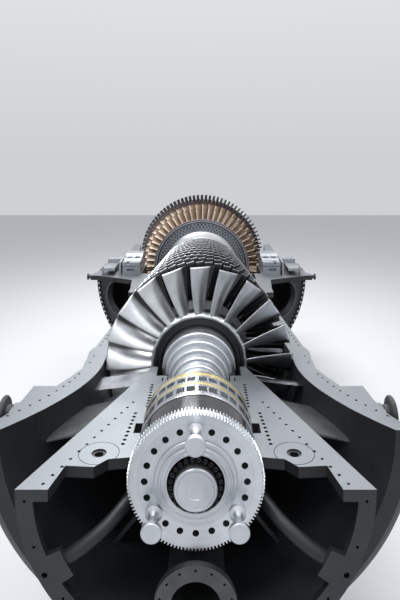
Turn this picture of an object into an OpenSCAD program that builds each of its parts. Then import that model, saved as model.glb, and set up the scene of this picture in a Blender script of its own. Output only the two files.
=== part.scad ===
// Heavy gas turbine laid open for assembly: the bladed rotor lies in the lower half casings.
// Seen from the air inlet the shaft runs away along +Y, X is to the right and Z is up.
// A station is a distance along the shaft, counted from the front face of the inner inlet casing.

/* [Whole machine] */
// Height of the rotor axis above the floor
axis_h = 3100; // [3000:10:3300]
// Depth of the flanges along the horizontal joint
joint_t = 105; // [80:5:130]
// Wall of the inlet casings
inlet_wall = 50; // [35:5:70]
// Radius of the joint bolt holes
joint_hole_r = 16; // [10:1:20]
// Space left between pieces that are seated in one another
seat = 0.2; // [0.1:0.05:0.3]
// Running clearance of a journal in its bearing, on the radius
run_fit = 0.06; // [0.02:0.01:0.1]
// Clearance between blade tips and the casing
tip_clear = 9; // [6:1:12]

/* [Coupling] */
// Setback of the coupling face behind the front face of the inner casing
coupling_set = 110; // [60:5:140]
// Thickness of the toothed coupling flange
flange_t = 100; // [80:5:120]
// Teeth of the turning gear round the flange
gear_teeth = 120; // [100:2:140]
// Module of the turning gear
gear_module = 10; // [9:0.5:11]
// Length of the smooth hub behind the flange
hub_len = 340; // [260:10:360]
// Radius of the smooth hub
hub_r = 560; // [540:5:570]
// Holes in the coupling flange
coupling_holes = 20; // [16:2:24]
// Pitch radius of the coupling holes
coupling_pitch_r = 454; // [440:2:470]
// Radius of a coupling hole
coupling_hole_r = 30; // [22:1:34]
// Depth of a coupling hole
coupling_hole_l = 150; // [120:5:200]
// Radius of the recess at the coupling face
recess_r = 372; // [355:1:385]
// Radius of the bore behind the recess
nose_r = 250; // [235:1:255]
// Depth of the recess cone
recess_cone_l = 100; // [70:5:120]
// Depth of the bore floor behind the coupling face
nose_set = 310; // [240:10:330]
// Radius of the tie rod end
tie_rod_r = 188; // [170:1:195]
// Length of the tie rod end in front of the coupling face
tie_rod_out = 130; // [80:5:170]
// Bolts in the ring round the tie rod
nose_bolts = 28; // [20:2:32]
// Radius of a bolt head round the tie rod
nose_bolt_r = 16; // [12:1:19]
// Length of the lifting pins in front of the coupling face
pin_out = 276; // [220:2:300]
// Radius of a lifting pin head
pin_head_r = 89; // [75:1:95]
// Radius of a lifting pin neck
pin_neck_r = 30; // [24:1:36]

/* [Front shaft] */
// Radius of the front journal
journal_r = 265; // [258:1:272]
// Length of the front bearing
bearing_len = 535; // [480:5:560]
// Outer radius of the front bearing
bearing_r = 570; // [560:2:590]
// Space between the coupling hub and the front bearing
bearing_gap = 15; // [10:1:25]
// Radius of the neck behind the front journal
neck_r = 275; // [273:1:290]
// Length of the neck up to the first collar
neck_len = 620; // [560:10:660]
// Collars that step the shaft up to the first disc
collars = 6; // [6:8]
// Width of a collar
collar_w = 160; // [140:5:170]
// Radius of the last collar
last_collar_r = 490; // [460:5:520]
// Edge chamfer of a collar
collar_edge = 14; // [8:1:18]

/* [First compressor row] */
// Blades in the first row
first_blades = 20; // [18:22]
// Radius of the first disc at the blade roots
first_hub_r = 648; // [630:2:660]
// Tip radius of the first row
first_tip_r = 1295; // [1270:5:1310]
// Width of the first disc
first_disc_w = 370; // [350:5:400]
// Chord of a first row blade at the root
first_root_chord = 325; // [300:5:335]
// Chord of a first row blade at the tip
first_tip_chord = 350; // [320:5:370]
// Blade angle at the root, from the shaft direction
first_root_angle = 18; // [12:1:26]
// Blade angle at the tip, from the shaft direction
first_tip_angle = 57; // [50:1:62]
// Turn of the tip section round the axis against the root section
first_lean = 2.2; // [0:0.2:5]
// Blade thickness at the root
first_root_t = 44; // [36:1:52]
// Blade thickness at the tip
first_tip_t = 11; // [8:1:16]

/* [Compressor] */
// Blade rows behind the first one
rows = 12; // [12]
// Distance from the first disc to the middle of the second row
second_row_set = 280; // [260:5:300]
// Distance between the second and the third row
row_pitch = 455; // [440:5:460]
// Shortening of that distance from one row to the next
row_pitch_drop = 18.8; // [16:0.4:20]
// Tip radius of the second row
second_tip_r = 1268; // [1255:1:1275]
// Tip radius of the last row
last_tip_r = 975; // [960:5:990]
// Root radius of the second row
second_hub_r = 715; // [700:5:725]
// Root radius of the last row
last_hub_r = 855; // [845:5:865]
// Blades in the second row
second_blades = 30; // [28:34]
// Blades that each further row adds
more_blades = 3; // [2:3]
// Wall of the compressor casing
comp_wall = 90; // [70:5:110]

/* [Turbine] */
// Length of the torque tube between compressor and turbine
torque_len = 1400; // [1360:10:1440]
// Radius of the torque tube
torque_r = 800; // [780:5:810]
// Radius of the seal ring on the first turbine disc
seal_r = 1200; // [1170:5:1210]
// Width of the seal ring
seal_w = 90; // [70:5:100]
// Distance from the front of the turbine drum to the first turbine row
turbine_set = 360; // [350:5:390]
// Distance between turbine rows
turbine_pitch = 365; // [350:5:380]
// Tip radius of the first turbine row
turbine_tip_r = 1420; // [1400:5:1440]
// Tip radius gained from one turbine row to the next
turbine_tip_rise = 93; // [85:1:95]
// Root radius of the first turbine row
turbine_hub_r = 1105; // [1095:5:1115]
// Root radius lost from one turbine row to the next
turbine_hub_drop = 28; // [20:1:34]

/* [Inlet casings] */
// Radius of the inner casing at its front face
inner_front_r = 1557; // [1530:1:1575]
// Radius of the inner casing at its rear end
inner_rear_r = 625; // [600:5:630]
// Space between the inner casing and the first disc
inner_gap = 110; // [80:5:140]
// Inner radius of the front ring
front_ring_r = 1405; // [1390:5:1420]
// Depth of the front ring
front_ring_t = 60; // [45:5:75]
// Half width of the opening at the front of the inner joint flange
front_gap_w = 1270; // [1250:5:1290]
// Station of the bellmouth rim face
rim_set = 980; // [960:5:1010]
// Outer radius of the bellmouth rim
rim_r = 2320; // [2290:5:2350]
// Thickness of the bellmouth rim
rim_t = 120; // [100:5:130]
// Length over which the bellmouth narrows
bell_len = 1720; // [1690:5:1740]
// How far the bellmouth flares out over that length
bell_rise = 757; // [730:1:770]
// Power of the bellmouth curve
bell_power = 1.9; // [1.7:0.1:2.1]
// Distance by which the inlet casing runs past the first disc
bell_tail = 80; // [70:5:90]
// Outer radius of the flange behind the bellmouth
bell_flange_r = 1580; // [1560:5:1610]
// Thickness of that flange
bell_flange_t = 120; // [90:5:140]
// Outer radius of the lower nozzle flange
nozzle_flange_r = 363; // [350:1:370]
// Bore radius of the lower nozzle
nozzle_r = 223; // [200:1:235]
// Depth of the lower nozzle below the axis
nozzle_drop = 1017; // [1000:1:1030]
// Bolt holes in the lower nozzle flange
nozzle_holes = 14; // [12:2:16]

/* [Combustor and turbine casings] */
// Outer radius of the combustor casing flanges
main_flange_r = 2450; // [2430:5:2480]
// Thickness of the combustor casing flanges
main_flange_t = 200; // [160:10:220]
// Step from those flanges down to the casing wall
main_step = 90; // [70:5:110]
// Wall of the combustor and turbine casings
main_wall = 70; // [55:5:85]
// How far the joint flange stands out past the combustor casing flanges
joint_ear = 150; // [130:5:170]
// Combustor ports in the lower half
ports = 5; // [5]
// Radius of a combustor port
port_r = 455; // [430:5:460]
// Radius of the circle of combustor ports
port_ring_r = 1800; // [1790:5:1820]
// Angle between combustor ports
port_step = 38; // [36:0.5:38]
// Wall of a combustor port sleeve
port_wall = 38; // [25:1:40]
// Length of the turbine casing behind the combustor casing
turbine_len = 1260; // [1240:10:1300]
// Outer radius of the turbine casing
turbine_r = 1900; // [1880:10:1950]
// Length of the exhaust casing
exhaust_len = 1550; // [1500:10:1600]
// Radius of the rear journal
rear_journal_r = 240; // [225:1:250]
// Length of the rear bearing
rear_bearing_len = 320; // [280:10:360]

/* [Stands] */
// Width of a stand along the shaft
stand_w = 240; // [200:10:260]
// Side of a foot plate
foot_w = 620; // [560:10:660]
// Thickness of a foot plate
foot_t = 50; // [40:5:60]
// Radius of a foot bolt hole
foot_hole_r = 22; // [16:1:26]

/* [Hidden] */
$fn = 96;
small_fn = 24;
over = 20;

// Stations along the rotor
hub_front = coupling_set + flange_t;
hub_rear = hub_front + hub_len;
nose_station = coupling_set + nose_set;
bearing_front = hub_rear + bearing_gap;
bearing_rear = bearing_front + bearing_len;
collar_front = bearing_rear + neck_len;
disc_front = collar_front + collars * collar_w + 50;
disc_rear = disc_front + first_disc_w;
first_mid = disc_front + first_disc_w / 2 - 15;
second_row = disc_rear + second_row_set;
last_row = row_station(rows - 1);
drum_rear = last_row + 150;
turbine_front = drum_rear + torque_len;
turbine_row = turbine_front + turbine_set;
turbine_rear = turbine_station(3) + turbine_pitch / 2 - 40;

// Stations along the casings
inner_rear = disc_front - inner_gap;
bell_rear = disc_rear + bell_tail;
bell_throat = rim_set + bell_len;
comp_front = bell_rear;
main_front = last_row - 650;
shoulder = main_front + 820;
comp_rear = last_row + 250;
port_wall_station = shoulder + 410;
main_rear = turbine_row + 60;
main_joint_w = main_flange_r + joint_ear;
turbine_casing_rear = main_rear + turbine_len;
exhaust_rear = turbine_casing_rear + exhaust_len;
rear_bearing_front = turbine_casing_rear + exhaust_len / 2;
rear_shaft_end = rear_bearing_front + rear_bearing_len + 160;
front_end = coupling_set - pin_out;
mid_station = (front_end + exhaust_rear) / 2;

// Blade settings: angle from the shaft, thickness, bow, and share of the space that a row takes
row_angle = 48;
row_t = 13;
row_bow = 14;
row_share = 0.42;
row_fill = 0.94;
vane_angle = 30;
vane_t = 12;
vane_bow = 12;
vane_share = 0.34;
turbine_angle = 34;
turbine_angle_more = 4;
turbine_t = 26;
turbine_t_less = 3;
turbine_bow = 24;
turbine_bow_less = 4;
turbine_fill = 0.92;
nozzle_angle = 40;
nozzle_chord = 96;
nozzle_t = 22;
nozzle_bow = 14;
liner_room = 23;

// Radii that follow from the blades
first_tip_corner = norm([first_tip_r, first_tip_chord / 2 * sin(first_tip_angle) + first_tip_t]);
throat_r = first_tip_corner + tip_clear;
gear_tip_r = gear_module * (gear_teeth + 2) / 2;
gear_root_r = gear_module * (gear_teeth - 2.5) / 2;
row_foot = 45;
seal_seat_r = 540;

function row_station(k) = second_row + k * row_pitch - row_pitch_drop * k * (k - 1) / 2;
function row_space(k) = row_pitch - row_pitch_drop * k;
function along_rows(s) = (s - second_row) / (last_row - second_row);
function comp_tip(s) = second_tip_r + (last_tip_r - second_tip_r) * along_rows(s);
function comp_hub(s) = second_hub_r + (last_hub_r - second_hub_r) * along_rows(s);
function comp_bore(s) = comp_tip(s) + tip_clear + liner_room;
function row_blades(k) = second_blades + more_blades * k;
function row_width(k) = row_share * row_space(k);
function turbine_station(k) = turbine_row + turbine_pitch * k;
function turbine_tip(k) = turbine_tip_r + turbine_tip_rise * k;
function turbine_hub(k) = turbine_hub_r - turbine_hub_drop * k;
function turbine_bore(s) = turbine_tip(0) + turbine_tip_rise * (s - turbine_row) / turbine_pitch
                         + turbine_tip_rise / 2 + tip_clear;
turbine_blades = [54, 54, 92, 92];
turbine_width = [0.50, 0.52, 0.54, 0.56];

// Inner wall of the bellmouth at a station, and outer wall of the inner casing
function bell(s) = throat_r + bell_rise * pow(max(0, (bell_throat - s) / bell_len), bell_power);
function inner_wall(s) = inner_front_r + (inner_rear_r - inner_front_r) * s / inner_rear;
function bell_points(from, to, n) = [for (i = [0:n]) let (s = from + (to - from) * i / n) [bell(s), s]];

// Flat-sided ring outline: n flats at distance a from the centre, flat 0 facing +X
function flats(n, a) = [for (i = [0:n - 1]) let (t = 360 * (i + 0.5) / n)
                        a / cos(180 / n) * [cos(t), sin(t)]];

// Six-cornered blade section, chord c, thickness t, bow b
function plain_foil(c, t, b) = [[-c / 2, 0], [-c / 4, b * 0.75 + t / 2], [c / 8, b + t / 2], [c / 2, 0],
                                [c / 8, b - t / 2], [-c / 4, b * 0.75 - t / 2]];

// Places children with local +Z along the shaft and local +Y down
module on_axis() translate([0, -mid_station, axis_h]) rotate([-90, 0, 0]) children();

// Places children drawn in plan at the joint plane: X across, Y the station, Z up
module at_joint() translate([0, -mid_station, axis_h]) children();

module both_sides() {
  children();
  mirror([1, 0, 0]) children();
}

// Full and lower half bodies of revolution from [radius, station] points
module turned(points) rotate_extrude() polygon(points);
module lower_half(points) rotate_extrude(angle = 180) polygon(points);

// Symmetrical strut section with a blunt nose, chord c, thickness t
function strut_foil(c, t) = [for (a = [0:12:348]) [c / 2 * cos(a), t / 2 * sin(a) * (1 - 0.3 * cos(a))]];

// One strut standing out along local +X at angle a, its nose towards the inlet
module strut_at(a, from, to, station, c, t)
  rotate([0, 0, a]) translate([from, 0, station]) rotate([0, 90, 0]) rotate([0, 0, 180])
    linear_extrude(to - from) polygon(strut_foil(c, t));

// One straight blade standing out along local +X at angle a
module blade_at(a, root, tip, station, angle, c, t, b)
  rotate([0, 0, a]) translate([root, 0, station]) rotate([0, 90, 0]) rotate([0, 0, 180 - angle])
    linear_extrude(tip - root) polygon(plain_foil(c, t, b));

// A ring of blades with the foot ring that carries them
module bladed_ring(n, station, w, hub, foot, tip, angle, c, t, b) {
  translate([0, 0, station - w / 2]) difference() {
    linear_extrude(w) polygon(flats(n, hub));
    translate([0, 0, -over]) cylinder(h = w + 2 * over, r = hub - foot + seat);
  }
  for (i = [0:n - 1]) blade_at(i * 360 / n, hub - 5, tip, station, angle, c, t, b);
}

module compressor_row(k) {
  s = row_station(k);
  bladed_ring(row_blades(k), s, row_width(k), comp_hub(s), row_foot, comp_tip(s), row_angle,
              row_width(k) / cos(row_angle) * row_fill, row_t, -row_bow);
}

module turbine_blade_ring(k) {
  w = turbine_width[k] * turbine_pitch;
  g = turbine_angle + turbine_angle_more * k;
  on_axis() bladed_ring(turbine_blades[k], turbine_station(k), w, turbine_hub(k), row_foot, turbine_tip(k),
                        g, w / cos(g) * turbine_fill, turbine_t - turbine_t_less * k,
                        turbine_bow - turbine_bow_less * k);
}

// Lower half ring of plain section
module lower_ring(r_in, r_out, from, to)
  lower_half([[r_in, from], [r_out, from], [r_out, to], [r_in, to]]);

// Plate along the joint plane on both sides, drawn in plan for the right-hand side
module joint_plate(points, t = joint_t)
  at_joint() both_sides() translate([0, 0, -t]) linear_extrude(t) polygon(points);

// Row of n joint bolt holes on both sides between two points of the joint plane
module joint_holes(from, to, n, r = joint_hole_r, h = 90)
  at_joint() both_sides() for (i = [0:n - 1]) translate([0, 0, -h])
    translate(from + (to - from) * i / (n - 1)) cylinder(h = h + over, r = r, $fn = small_fn);

/* Inlet end of the lower casing */

bell_wall = 1.25 * inlet_wall;
rib_set = 2030;
pad_angle = 29.6;
ring_hole_angles = [4, 19.6, 39.5, 57, 73.5, 90];
pocket_front = 920;
tunnel_r = 372;
bar_front = collar_front + 3.4 * collar_w;
bar_rear = bar_front + 70;
tunnel_rear = collar_front + 3 * collar_w - 26;
pocket_r = 550;
trough_wall = 80;
trunnion_set = 1480;
trunnion_face = 2110;
trunnion_drop = 70;

// Space inside the bellmouth, smaller by the seat
module inside_bell() on_axis() rotate_extrude($fn = 288)
  polygon(concat([for (p = bell_points(rim_set, bell_rear, 26)) p - [seat, 0]], [[0, bell_rear], [0,
      rim_set]]));

// Space taken by the inner casing, larger by the given amount
module inside_cone(grow) on_axis() rotate_extrude($fn = 288)
  polygon([[0, -over], [inner_wall(-over) + grow, -over], [inner_wall(inner_rear) + grow, inner_rear],
      [0, inner_rear]]);

module inlet_outer_casing() color([0.30, 0.32, 0.34]) difference() {
  union() {
    on_axis() {
      lower_half(concat(bell_points(rim_set, bell_rear, 26),
                        [for (i = [26:-1:0]) bell_points(rim_set, bell_rear, 26)[i] + [bell_wall, 0]]));
      lower_half([[bell(rim_set), rim_set], [rim_r - 90, rim_set], [rim_r, rim_set + rim_t / 2],
                  [rim_r, rim_set + rim_t], [bell(rim_set + rim_t) + 1, rim_set + rim_t]]);
      lower_ring(bell(rib_set - 60) + inlet_wall / 2, 2040, rib_set - 60, rib_set);
      lower_ring(throat_r + inlet_wall / 2, bell_flange_r, bell_rear - bell_flange_t, bell_rear);
    }
    joint_plate(concat([for (p = bell_points(rim_set + 5, bell_rear, 16)) p + [20, 0]],
                       [[1600, bell_rear], [1575, 2900], [1565, 2570], [1655, 2290], [1760, rib_set],
                        [2040, rib_set - 30], [2055, 1670], [2100, 1350], [2160, 1200], [2240,
                            rim_set + rim_t]]));
    at_joint() both_sides() translate([1700, trunnion_set - 110, -220])
      cube([trunnion_face - 1700, 220, 220]);
  }
  at_joint() both_sides() for (i = [0:9]) let (s = rim_set + 301 + 123 * i)
    translate([bell(s) + 250 - 3.7 * i, s, -90]) cylinder(h = 90 + over, r = joint_hole_r, $fn = small_fn);
  joint_holes([1505, 2760], [1500, 3000], 2);
}

module inner_webs() on_axis() for (a = [50, 130]) rotate([0, 0, a])
  translate([0, -20, 0]) translate([0, 40, 0]) rotate([90, 0, 0]) linear_extrude(40)
    polygon([[640, 700], [inner_wall(700) - 20, 700], [inner_wall(2150) - 20, 2150], [430, 2150], [430,
        1190], [640, 1190]]);

// Round cast rib that swings from a pad of the front ring back to the bearing trough
module swept_ribs() on_axis() both_sides() rotate([0, 0, pad_angle]) translate([1335, 0, 765])
  rotate([90, 0, 0]) rotate([0, 0, 180]) rotate_extrude(angle = 90) translate([690, 0]) circle(r = 62,
      $fn = small_fn);

module inlet_inner_casing() color([0.42, 0.44, 0.47]) difference() {
  union() {
    on_axis() {
      lower_half([[inner_wall(0) - inlet_wall, 0], [inner_wall(0), 0], [inner_rear_r, inner_rear],
                  [inner_rear_r - inlet_wall, inner_rear]]);
      lower_half([[front_ring_r, 0], [inner_wall(0) - 1, 0], [inner_wall(front_ring_t) - 1, front_ring_t],
                  [front_ring_r, front_ring_t]]);
      lower_ring(pocket_r, inner_rear_r - 10, inner_rear - 60, inner_rear);
      lower_half([[bearing_r + seat, bearing_front - 10], [bearing_r + trough_wall, bearing_front - 10],
                  [bearing_r + trough_wall, bearing_rear + 100], [tunnel_r + trough_wall,
                      bearing_rear + 100],
                  [tunnel_r + trough_wall, bar_rear], [tunnel_r + 30, bar_rear], [tunnel_r + 30,
                      tunnel_rear],
                  [tunnel_r, tunnel_rear], [tunnel_r, bearing_rear + 5], [bearing_r + seat,
                      bearing_rear + 5]]);
      both_sides() rotate([0, 0, pad_angle - 5.5]) rotate_extrude(angle = 11)
        polygon([[1280, 0], [front_ring_r + 10, 0], [front_ring_r + 10, front_ring_t], [1280,
            front_ring_t]]);
    }
    intersection() {
      joint_plate([[inner_front_r, 0], [inner_wall(inner_rear), inner_rear], [pocket_r, inner_rear],
                   [pocket_r, bar_rear], [tunnel_r + 30, bar_rear], [tunnel_r + 30, bar_front],
                   [tunnel_r + 98, bar_front], [tunnel_r + 98, tunnel_rear], [tunnel_r, tunnel_rear],
                   [tunnel_r, bearing_rear + 5], [bearing_r + seat, bearing_rear + 5],
                   [bearing_r + seat, bearing_front - 10], [617, bearing_front - 10], [617, 488], [833,
                       457],
                   [944, 330], [1210, 350], [front_gap_w, 0]]);
      inside_cone(0);
    }
    intersection() {
      union() {
        inner_webs();
        swept_ribs();
      }
      inside_cone(-5);
    }
  }
  on_axis() both_sides() {
    for (a = ring_hole_angles) rotate([0, 0, a]) translate([1476, 0, -over])
      cylinder(h = 2 * over + front_ring_t, r = 13, $fn = small_fn);
    rotate([0, 0, pad_angle]) translate([1493, 0, -over]) cylinder(h = 2 * over + front_ring_t, r = 26,
        $fn = small_fn);
  }
  at_joint() both_sides() {
    translate([bearing_r - 10, pocket_front, -110]) cube([100, bearing_rear + 20 - pocket_front,
        110 + over]);
    translate([940, 557, -8]) difference() {
      cylinder(h = over, r = 196);
      translate([0, 0, -over]) cylinder(h = 3 * over, r = 189);
    }
    translate([940, 557, -14]) cylinder(h = over, r = 72, $fn = 48);
    translate([940, 557, -joint_t - over]) cylinder(h = joint_t + 2 * over, r = 44, $fn = 48);
  }
  joint_holes([1335, 80], [750, 1600], 13);
  joint_holes([735, 717], [690, 1340], 9, 20);
  joint_holes([575, 1500], [575, 2060], 9, 20);
}

strut_angles = [12, 51, 90, 129, 168];
strut_set = 1770;
strut_chord = 700;

module inlet_struts() color([0.30, 0.31, 0.33]) difference() {
  intersection() {
    on_axis() for (a = strut_angles) strut_at(a, 700, 2000, strut_set, strut_chord, 100);
    inside_bell();
  }
  inside_cone(seat);
}

module lower_nozzle() color([0.42, 0.44, 0.47]) difference() {
  intersection() {
    on_axis() translate([0, nozzle_drop, 0]) {
      cylinder(h = front_ring_t, r = nozzle_flange_r);
      cylinder(h = inner_rear, r = nozzle_r + 42);
    }
    inside_cone(-inlet_wall - seat);
  }
  on_axis() translate([0, nozzle_drop, -over]) {
    cylinder(h = inner_rear, r = nozzle_r);
    for (i = [0:nozzle_holes - 1]) rotate([0, 0, (i + 0.5) * 360 / nozzle_holes])
      translate([(nozzle_r + nozzle_flange_r) / 2 + 25, 0, 0])
        cylinder(h = 2 * over + front_ring_t, r = 12, $fn = small_fn);
  }
}

vane_pitch = 360 / 28;
vane_set = 2430;
vane_root_r = 600;
vane_tip_r = 1400;
vane_turn = 12;
vane_chord = 260;

module inlet_guide_vanes() color([0.66, 0.68, 0.70]) difference() {
  intersection() {
    on_axis() for (i = [0:13]) 
      blade_at((i + 0.5) * vane_pitch, vane_root_r, vane_tip_r, vane_set, vane_turn, vane_chord, 26, 10);
    inside_bell();
  }
  inside_cone(seat);
}

/* Front bearing */

pads = 16;
window_rows = [[bearing_front + 60, 110], [bearing_front + 295, 90]];
seal_seats = [[bearing_front + 210, 50], [bearing_front + 420, 75]];

module front_bearing() color([0.62, 0.64, 0.66]) on_axis() difference() {
  turned([[journal_r + run_fit, bearing_front], [bearing_r - 8, bearing_front], [bearing_r,
      bearing_front + 8],
          [bearing_r, bearing_rear - 8], [bearing_r - 8, bearing_rear], [journal_r + run_fit,
              bearing_rear]]);
  for (q = seal_seats) translate([0, 0, q[0]]) difference() {
    cylinder(h = q[1], r = bearing_r + over);
    translate([0, 0, -over]) cylinder(h = q[1] + 2 * over, r = seal_seat_r);
  }
  for (q = window_rows, i = [0:pads - 1], side = [-1, 1]) rotate([0, 0,
      (i + 0.5) * 360 / pads + side * 5.2])
    translate([bearing_r - 36, -42, q[0]]) cube([60, 84, q[1]]);
}

module bearing_seal_rings() color([0.80, 0.68, 0.32]) on_axis() for (q = seal_seats) difference() {
  turned([[seal_seat_r + seat, q[0] + seat], [bearing_r - 2, q[0] + seat], [bearing_r - 2, q[0]
      + q[1] - seat],
          [seal_seat_r + seat, q[0] + q[1] - seat]]);
  for (i = [0:11]) rotate([0, 0, (i + 0.5) * 30]) translate([bearing_r - 14, 0, q[0] + q[1] / 2])
    rotate([0, 90, 0]) cylinder(h = over, r = 9, $fn = small_fn);
}

/* Compressor end of the lower casing */

comp_flange_r = bell_flange_r;
rear_flange_r = 1440;
carrier_wall = 70;

function comp_wall_r(s) = comp_bore(s) + comp_wall;

module compressor_casing() color([0.36, 0.38, 0.40]) difference() {
  union() {
    on_axis() lower_half([[comp_bore(comp_front), comp_front], [comp_flange_r, comp_front],
      [comp_flange_r, comp_front + bell_flange_t], [comp_wall_r(comp_front) + 20,
          comp_front + bell_flange_t + 20],
      [comp_wall_r(main_front) + 20, main_front - bell_flange_t - 20], [rear_flange_r,
          main_front - bell_flange_t],
      [rear_flange_r, main_front], [comp_bore(main_front) + carrier_wall, main_front],
      [comp_bore(comp_rear) + carrier_wall, comp_rear], [comp_bore(comp_rear), comp_rear]]);
    joint_plate([[comp_bore(comp_front) + 30, comp_front], [1600, comp_front],
      [comp_wall_r(comp_front) + 140, comp_front + 200], [comp_wall_r(main_front) + 150, main_front - 300],
      [1500, main_front - 260], [1500, main_front], [comp_bore(main_front) + 30, main_front]]);
  }
  joint_holes([comp_wall_r(comp_front) + 80, comp_front + 240], [comp_wall_r(main_front) + 85,
      main_front - 330], 22);
}

function vane_station(k) = (row_station(k) + row_station(k + 1)) / 2;
stator_blades = 17;
vane_foot_gap = 16;
liner_t = 15;
liner_foot = 30;
liner_gap = 3;

// Thin half liner that carries a set of vanes, on a foot ring at either end, in a bore from r1 to r2
module vane_liner(from, to, r1, r2, depth) {
  step = (r2 - r1) * liner_foot / (to - from);
  lower_half([[r1 - depth, from], [r1 - 0.3, from], [r1 + step - 0.3, from + liner_foot],
              [r1 + step - liner_gap, from + liner_foot], [r2 - step - liner_gap, to - liner_foot],
              [r2 - step - 0.3, to - liner_foot], [r2 - 0.3, to], [r2 - depth, to]]);
}

module compressor_vanes() color([0.60, 0.62, 0.64]) on_axis()
  for (k = [0:rows - 2]) let (s = vane_station(k), c = vane_share * row_space(k), h = c * 0.45) {
    lower_half([[comp_bore(s - h) - liner_t, s - h], [comp_bore(s - h) - 0.3, s - h],
                [comp_bore(s + h) - 0.3, s + h], [comp_bore(s + h) - liner_t, s + h]]);
    for (i = [0:stator_blades - 1])
      blade_at((i + 0.5) * 180 / stator_blades, comp_hub(s) + vane_foot_gap, comp_bore(s) - liner_t * 0.6, s,
               -vane_angle, c, vane_t, vane_bow);
  }

/* Combustor casing */

wall_front = [comp_bore(main_front) + 160, main_front + 580];
wall_rear = [main_flange_r - main_step, port_wall_station];
port_tilt = atan2(wall_rear[1] - wall_front[1], wall_rear[0] - wall_front[0]);
port_station = wall_front[1] + (port_ring_r - wall_front[0]) * tan(port_tilt);
inner_joint_r = 1250;
hollow_r = main_flange_r - 1020;
carrier_r = 1560;
carrier_front = turbine_row - 200;
flange_front = port_wall_station + 20;

module port_places() on_axis() for (i = [0:ports - 1]) rotate([0, 0,
    90 + (i - (ports - 1) / 2) * port_step])
  translate([port_ring_r, 0, port_station]) rotate([0, 180 - port_tilt, 0]) children();

module combustor_casing() color([0.24, 0.26, 0.28]) difference() {
  union() {
    difference() {
      on_axis() lower_half([
        [comp_bore(main_front) + carrier_wall + seat, main_front], [rear_flange_r, main_front],
        [rear_flange_r, main_front + bell_flange_t], [wall_front[0], main_front + bell_flange_t + 20],
        wall_front, wall_rear, [main_flange_r - main_step, flange_front], [main_flange_r, flange_front],
        [main_flange_r, flange_front + main_flange_t], [main_flange_r - main_step,
            flange_front + main_flange_t],
        [main_flange_r - main_step, main_rear - main_flange_t], [main_flange_r, main_rear - main_flange_t],
        [main_flange_r, main_rear], [carrier_r + seat, main_rear], [carrier_r + seat, main_rear - 60],
        [main_flange_r - main_step - main_wall, main_rear - 60],
        [main_flange_r - main_step - main_wall, port_wall_station + 30],
        [wall_front[0] - 20, wall_front[1] + main_wall + 20],
        [wall_front[0] - main_wall, wall_front[1]], [wall_front[0] - main_wall, main_front + bell_flange_t],
        [comp_bore(main_front) + carrier_wall + seat, main_front + bell_flange_t]]);
      port_places() translate([0, 0, -400]) cylinder(h = 600, r = port_r + port_wall + seat);
    }
    joint_plate([[rear_flange_r - 240, main_front], [1500, main_front], [1573, shoulder],
      [main_flange_r - 310, shoulder + 270],
      [main_flange_r, port_wall_station], [main_joint_w, port_wall_station], [main_joint_w,
          flange_front + main_flange_t],
      [main_flange_r + 60, flange_front + main_flange_t + 100], [main_flange_r + 60, main_rear],
      [carrier_r + seat, main_rear], [carrier_r + seat, carrier_front - 60], [hollow_r, carrier_front - 60],
      [hollow_r, flange_front + main_flange_t], [inner_joint_r, flange_front + main_flange_t],
      [inner_joint_r, comp_rear], [rear_flange_r - 240, comp_rear]]);
  }
  joint_holes([2360, flange_front + 60], [1480, main_front + 160], 12);
}

module combustor_port_sleeves() color([0.20, 0.21, 0.22]) intersection() {
  port_places() difference() {
    translate([0, 0, -110]) cylinder(h = 180, r = port_r + port_wall);
    translate([0, 0, -400]) cylinder(h = 600, r = port_r);
  }
  at_joint() translate([-main_flange_r, shoulder - 800, -main_flange_r])
    cube([2 * main_flange_r, 1600, main_flange_r - joint_t - seat]);
}

/* Turbine end of the lower casing */

module turbine_casing() color([0.34, 0.35, 0.37]) {
  on_axis() lower_half([
    [turbine_bore(carrier_front), carrier_front], [carrier_r, carrier_front], [carrier_r, main_rear],
    [main_flange_r, main_rear], [main_flange_r, main_rear + 120], [turbine_r + 140, main_rear + 140],
    [turbine_r, turbine_casing_rear - 160], [turbine_r + 170, turbine_casing_rear - 120],
    [turbine_r + 170, turbine_casing_rear], [turbine_bore(turbine_casing_rear), turbine_casing_rear]]);
  joint_plate([[carrier_r + 40, main_rear], [main_flange_r, main_rear], [main_flange_r, main_rear + 120],
    [turbine_r + 260, main_rear + 260], [turbine_r + 200, turbine_casing_rear],
    [turbine_bore(turbine_casing_rear) + 20, turbine_casing_rear]]);
}

segment_t = 23;
nozzle_vanes = 16;

module turbine_vanes() color([0.55, 0.50, 0.45]) on_axis() {
  from = carrier_front + 5;
  to = turbine_station(3) + 60;
  vane_liner(from, to, turbine_bore(from), turbine_bore(to), segment_t);
  for (k = [0:3]) let (s = turbine_station(k - 0.5)) for (i = [0:nozzle_vanes - 1])
    blade_at((i + 0.5) * 180 / nozzle_vanes, turbine_hub(k) + 24, turbine_bore(s) - segment_t * 0.57, s,
             -nozzle_angle, nozzle_chord, nozzle_t, -nozzle_bow);
}

exhaust_r = turbine_r - 40;
exhaust_rise = 110;
hub_housing_r = 620;
hub_front_s = turbine_casing_rear + 320;
hub_rear_s = exhaust_rear - 130;
rear_bearing_r = 420;

function exhaust_bore(s) = exhaust_r - 50 + exhaust_rise * (s - turbine_casing_rear) / exhaust_len;

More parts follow.
